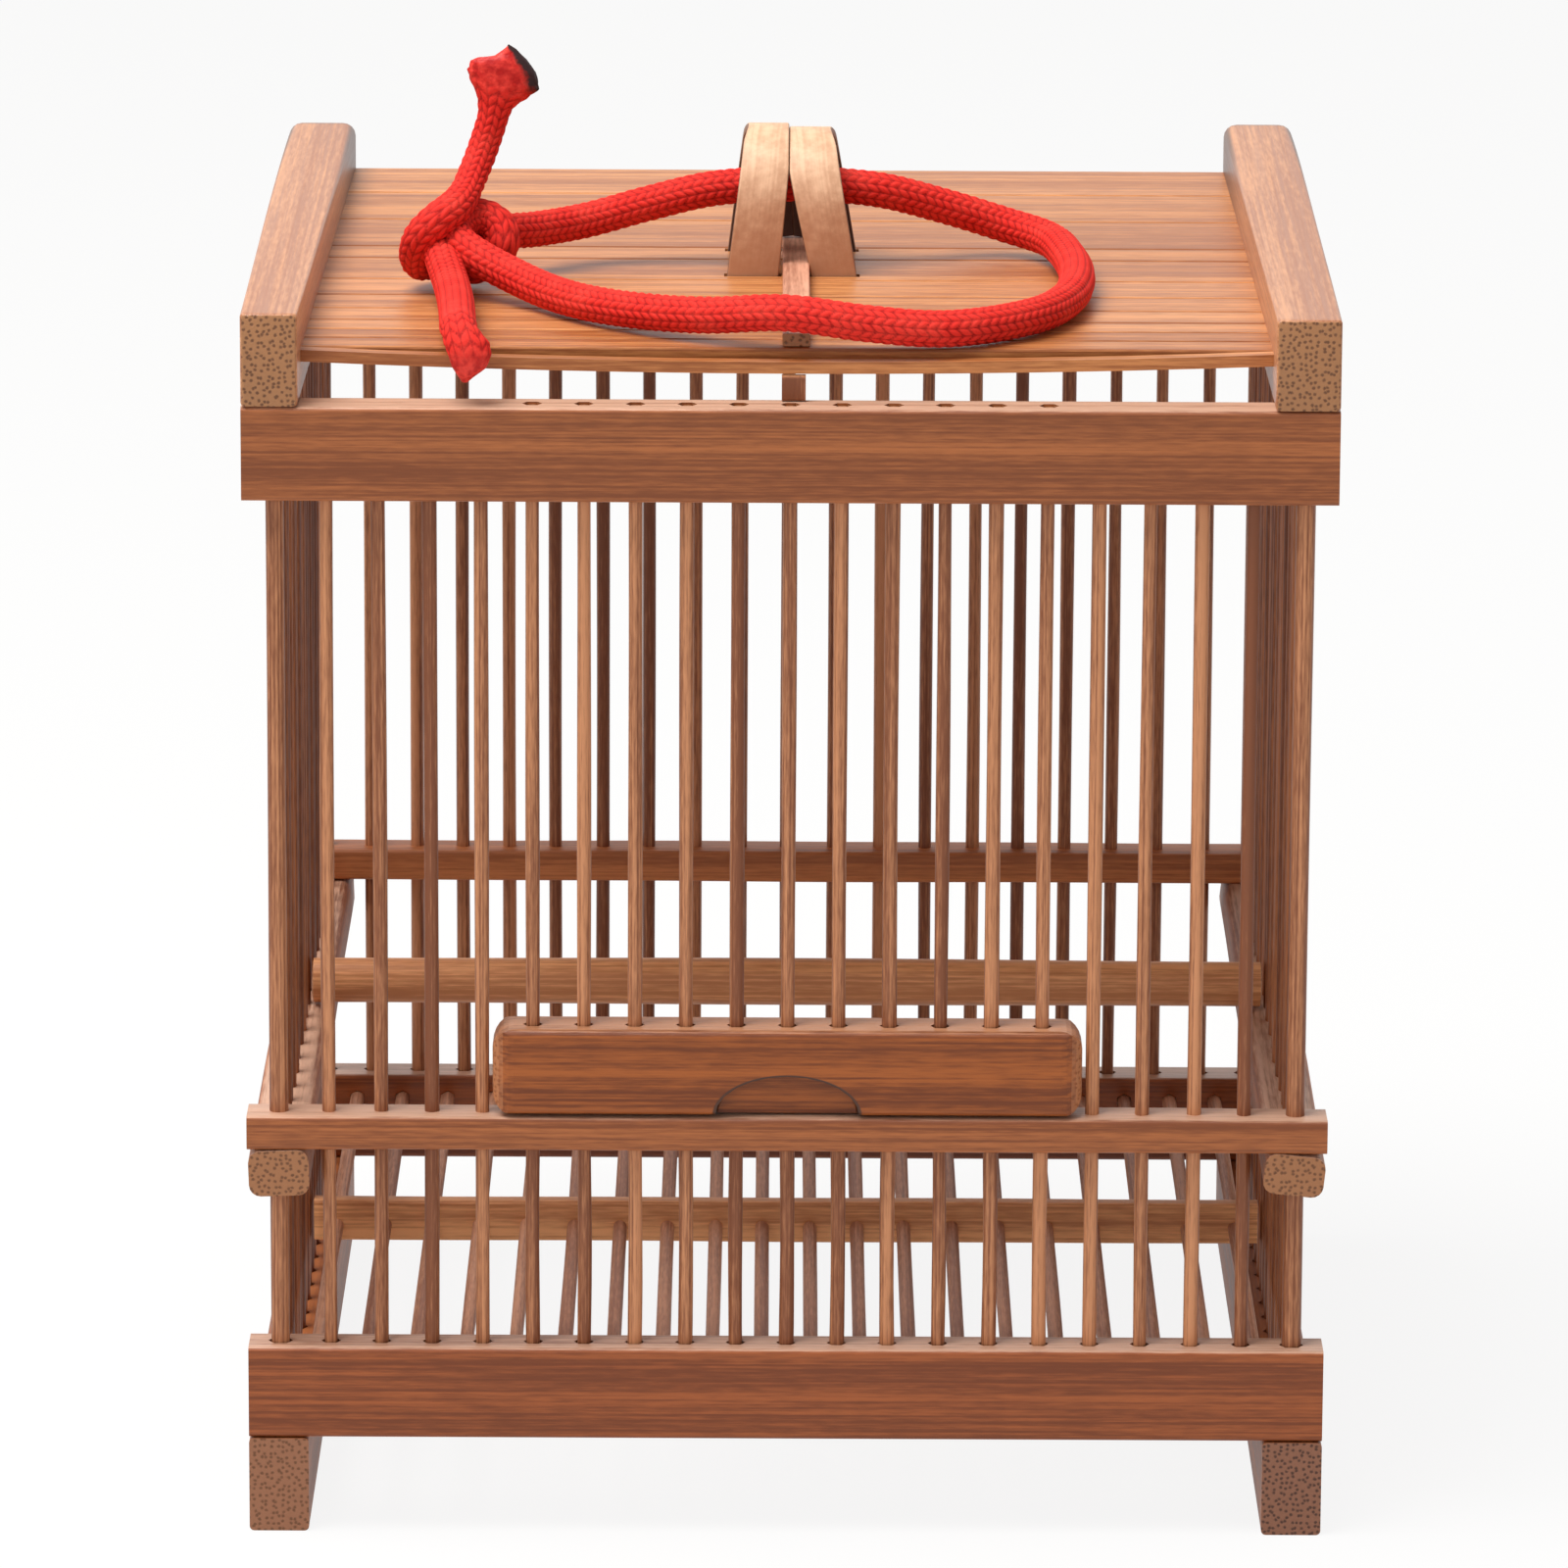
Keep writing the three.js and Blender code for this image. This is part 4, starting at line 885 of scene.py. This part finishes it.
def beam(front, back):
    """A planed beam from front to back, with its front end rubbed and its back end rounded over."""
    rings = []
    turns = np.linspace(0, math.pi / 2, BEAM_END_STEPS)
    stations = [(-BEAM_HALF_LENGTH_MM, BEAM_FRONT_EDGE_MM, a) for a in turns[::-1]]
    stations += [(t, 0, 0) for t in np.linspace(*BEAM_STRAIGHT_MM, BEAM_STATIONS)]
    stations += [(BEAM_HALF_LENGTH_MM, BEAM_BACK_EDGE_MM, a) for a in turns]
    for t, radius, a in stations:
        inset = radius * (1 - math.cos(a))
        y = t - math.copysign(radius * (1 - math.sin(a)), t)
        share = (y + BEAM_HALF_LENGTH_MM) / (2 * BEAM_HALF_LENGTH_MM)
        outer, inner, top = (f + (b - f) * share for f, b in zip(front, back))
        top += BEAM_WAVER_MM * math.sin(t / BEAM_WAVE_MM + outer)
        width, height = abs(outer - inner) - 2 * inset, top - BEAM_FOOT_MM - inset
        rounding = BEAM_EDGE_MM + BEAM_ROUNDING_MM * share**BEAM_ROUNDING_RISE
        outline = zip(rounded(width, height, BEAM_EDGE_MM), rounded(width, height, rounding))
        outline = [upper if upper[1] > 0 else lower for lower, upper in outline]
        rings.append([((outer + inner) / 2 - u, y, BEAM_FOOT_MM + height / 2 + w) for u, w in outline])
    return lofted([np.array(ring) for ring in rings])


beam_bamboo = bamboo(
    "roof_beam_bamboo",
    ALONG_Y,
    paint(206, 146, 104),
    paint(160, 100, 66),
    paint(170, 118, 78),
    END_DEEP,
    gloss=0.34,
    seed=13,
    # the back ends and the sides near them are painted darker
    darkening_mask=beam_back_darkening,
)
for side_name, shape in BEAMS_MM.items():
    solid_beam = [(*beam(*shape), beam_bamboo)]
    make_piece(f"{side_name}_beam", solid_beam, "cage", [f"{side_name}_roof_beam"])

# Handle hoops. Two thin strips side by side through the roof, with their tops leaning together
# until they touch. Their inner sides, inside the arch, are painted dark as painted shade.
HOOP_FOOT_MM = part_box("left_handle_hoop")[0][2] * 1000
HOOP_TOP_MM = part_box("left_handle_hoop")[1][2] * 1000
HOOP_FRONT_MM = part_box("left_handle_hoop")[0][1] * 1000
HOOP_BACK_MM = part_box("left_handle_hoop")[1][1] * 1000
HOOP_THICKNESS_MM, HOOP_EDGE_MM, HOOP_EDGE_STEPS = 1, 0.22, 3
STRIP_FIBRES = 1200  # how fine they are across the strip
LEG_STATIONS, ARCH_STEPS = 24, 40
CROWN_MM, CROWN_CORNER_MM = 1.8, 0.7  # the outer edge is rubbed away over the crown
SLAT_TOP_MM, BROWN_TOP_MM = 122.5, 133.5  # the feet are browner from the slats up to here
TOUCH_MM, TOUCH_SHARE = -0.22, 0.74  # where the two meet, and from what share of their height
BATTEN_TOP_MM, SHOULDER_MM = 123.95, 0.15  # the back legs are cut out round the batten, up to here
# For each hoop, its outer and inner edge at the roof, its inner edge over the batten at the back,
# its outer edge at the top, and how far it stands above the other one.
HOOPS_MM = {"left": (-6.65, -1.25, 0.44, -4.8, 0.3), "right": (6.9, 2.1, 0.38, 4.46, -0.1)}


def strip_finish(name, pale, deep, foot, cut_side, inner_shade):
    """A shaved, bent strip: soft streaks along it, browner feet, dark cut sides and painted shade inside."""
    finish = material(name)
    place = finish.mark("strip_place", "Vector")
    scale = (STRIP_FIBRES, STRIP_FIBRES, STRIP_FIBRES * FIBRE_LENGTH)
    fibres = finish.node("VectorMath", {"operation": "MULTIPLY"}, {0: place, 1: scale})
    fine = finish.noise(fibres, 2.2, 4, 0.6)
    clouds = finish.noise(place, 700, 4, 0.65)
    tone = 0.5 + (fine - 0.5) * 0.8 + (clouds - 0.5) * 1.2
    colour = finish.between(deep, pale, finish.ramp(tone, 0.15, 0.85))
    level = finish.part(finish.node("TexCoord", output="Object"), "Z") * 1000
    browned = finish.ramp(level + (clouds - 0.5) * 5, BROWN_TOP_MM, SLAT_TOP_MM, 0, 0.9)
    colour = finish.between(colour, foot, browned)
    sideways = abs(finish.facing("X"))
    colour = finish.between(colour, cut_side, finish.ramp(sideways, 0.5, 0.95, 0, 0.85))
    # Painted shade: the strip's inner side, inside the arch, is painted nearly black.
    inward = finish.part(place, "Y") * -1000
    colour = finish.between(colour, inner_shade, finish.ramp(inward, 0.3, 0.48, 0, 0.95))
    return finish.finished(
        base_color=colour,
        roughness=0.5 + (fine - 0.5) * 0.2,
        normal=finish.dents(fine * 0.5 + clouds * 0.5, GRAIN_DEPTH_MM, GRAIN_STRENGTH),
        specular_ior_level=0.35,
    )


hoop_bamboo = strip_finish(
    "hoop_bamboo",
    paint(230, 188, 152),
    paint(200, 154, 120),
    paint(174, 120, 86),
    paint(122, 92, 74),
    # painted shade for the inner sides
    paint(46, 22, 14),
)


def hoop(outer_foot, inner_foot, inner_back, outer_top, lift):
    """A strip bent over from one leg to the other, narrower at its top, where it leans inward."""
    reach = (HOOP_BACK_MM - HOOP_FRONT_MM - HOOP_THICKNESS_MM) / 2
    middle = (HOOP_BACK_MM + HOOP_FRONT_MM) / 2
    springing = HOOP_TOP_MM - HOOP_THICKNESS_MM / 2 - reach
    leg = np.linspace(HOOP_FOOT_MM, springing, LEG_STATIONS)[:-1]
    leg = np.sort(np.append(leg, (BATTEN_TOP_MM, BATTEN_TOP_MM + SHOULDER_MM)))
    line = [(-reach, z, 0, -1) for z in leg]
    for k in range(ARCH_STEPS + 1):
        a = math.pi * (1 - k / ARCH_STEPS)
        line.append((reach * math.cos(a), springing + reach * math.sin(a), math.sin(a), math.cos(a)))
    line += [(reach, z, 0, 1) for z in reversed(leg)]
    rings, strip_places = [], []
    along = 0
    for number, (y, z, rise_out, y_out) in enumerate(line):
        if number:
            along += math.dist((y, z), line[number - 1][:2])
        share = (z - SLAT_TOP_MM) / (HOOP_TOP_MM - SLAT_TOP_MM)
        crown = CROWN_CORNER_MM * max(0, (z - HOOP_TOP_MM) / CROWN_MM + 1) ** 2
        outer = outer_foot + (outer_top - outer_foot) * share - math.copysign(crown, outer_foot)
        start = inner_foot
        if y > 0:
            start += (inner_back - inner_foot) * min(1, max(0, (z - BATTEN_TOP_MM) / SHOULDER_MM))
        inner = start + (TOUCH_MM - start) * min(1, max(0, share / TOUCH_SHARE))
        x, width = (outer + inner) / 2, abs(outer - inner)
        z += lift * max(0, share)
        out = np.array((0, y_out, rise_out))
        outline = rounded(width, HOOP_THICKNESS_MM, HOOP_EDGE_MM, HOOP_EDGE_STEPS)[::-1]
        strip_places += [(u / 1000, v / 1000, along / 1000) for u, v in outline]
        rings.append([np.array((x + u, middle + y, z)) + out * v for u, v in outline])
    return lofted(rings), strip_places


for side_name, shape in HOOPS_MM.items():
    bent_strip, strip_places = hoop(*shape)
    make_piece(
        f"{side_name}_hoop",
        [(*bent_strip, hoop_bamboo)],
        "cage",
        [f"{side_name}_handle_hoop"],
        marks={"strip_place": strip_places},
    )
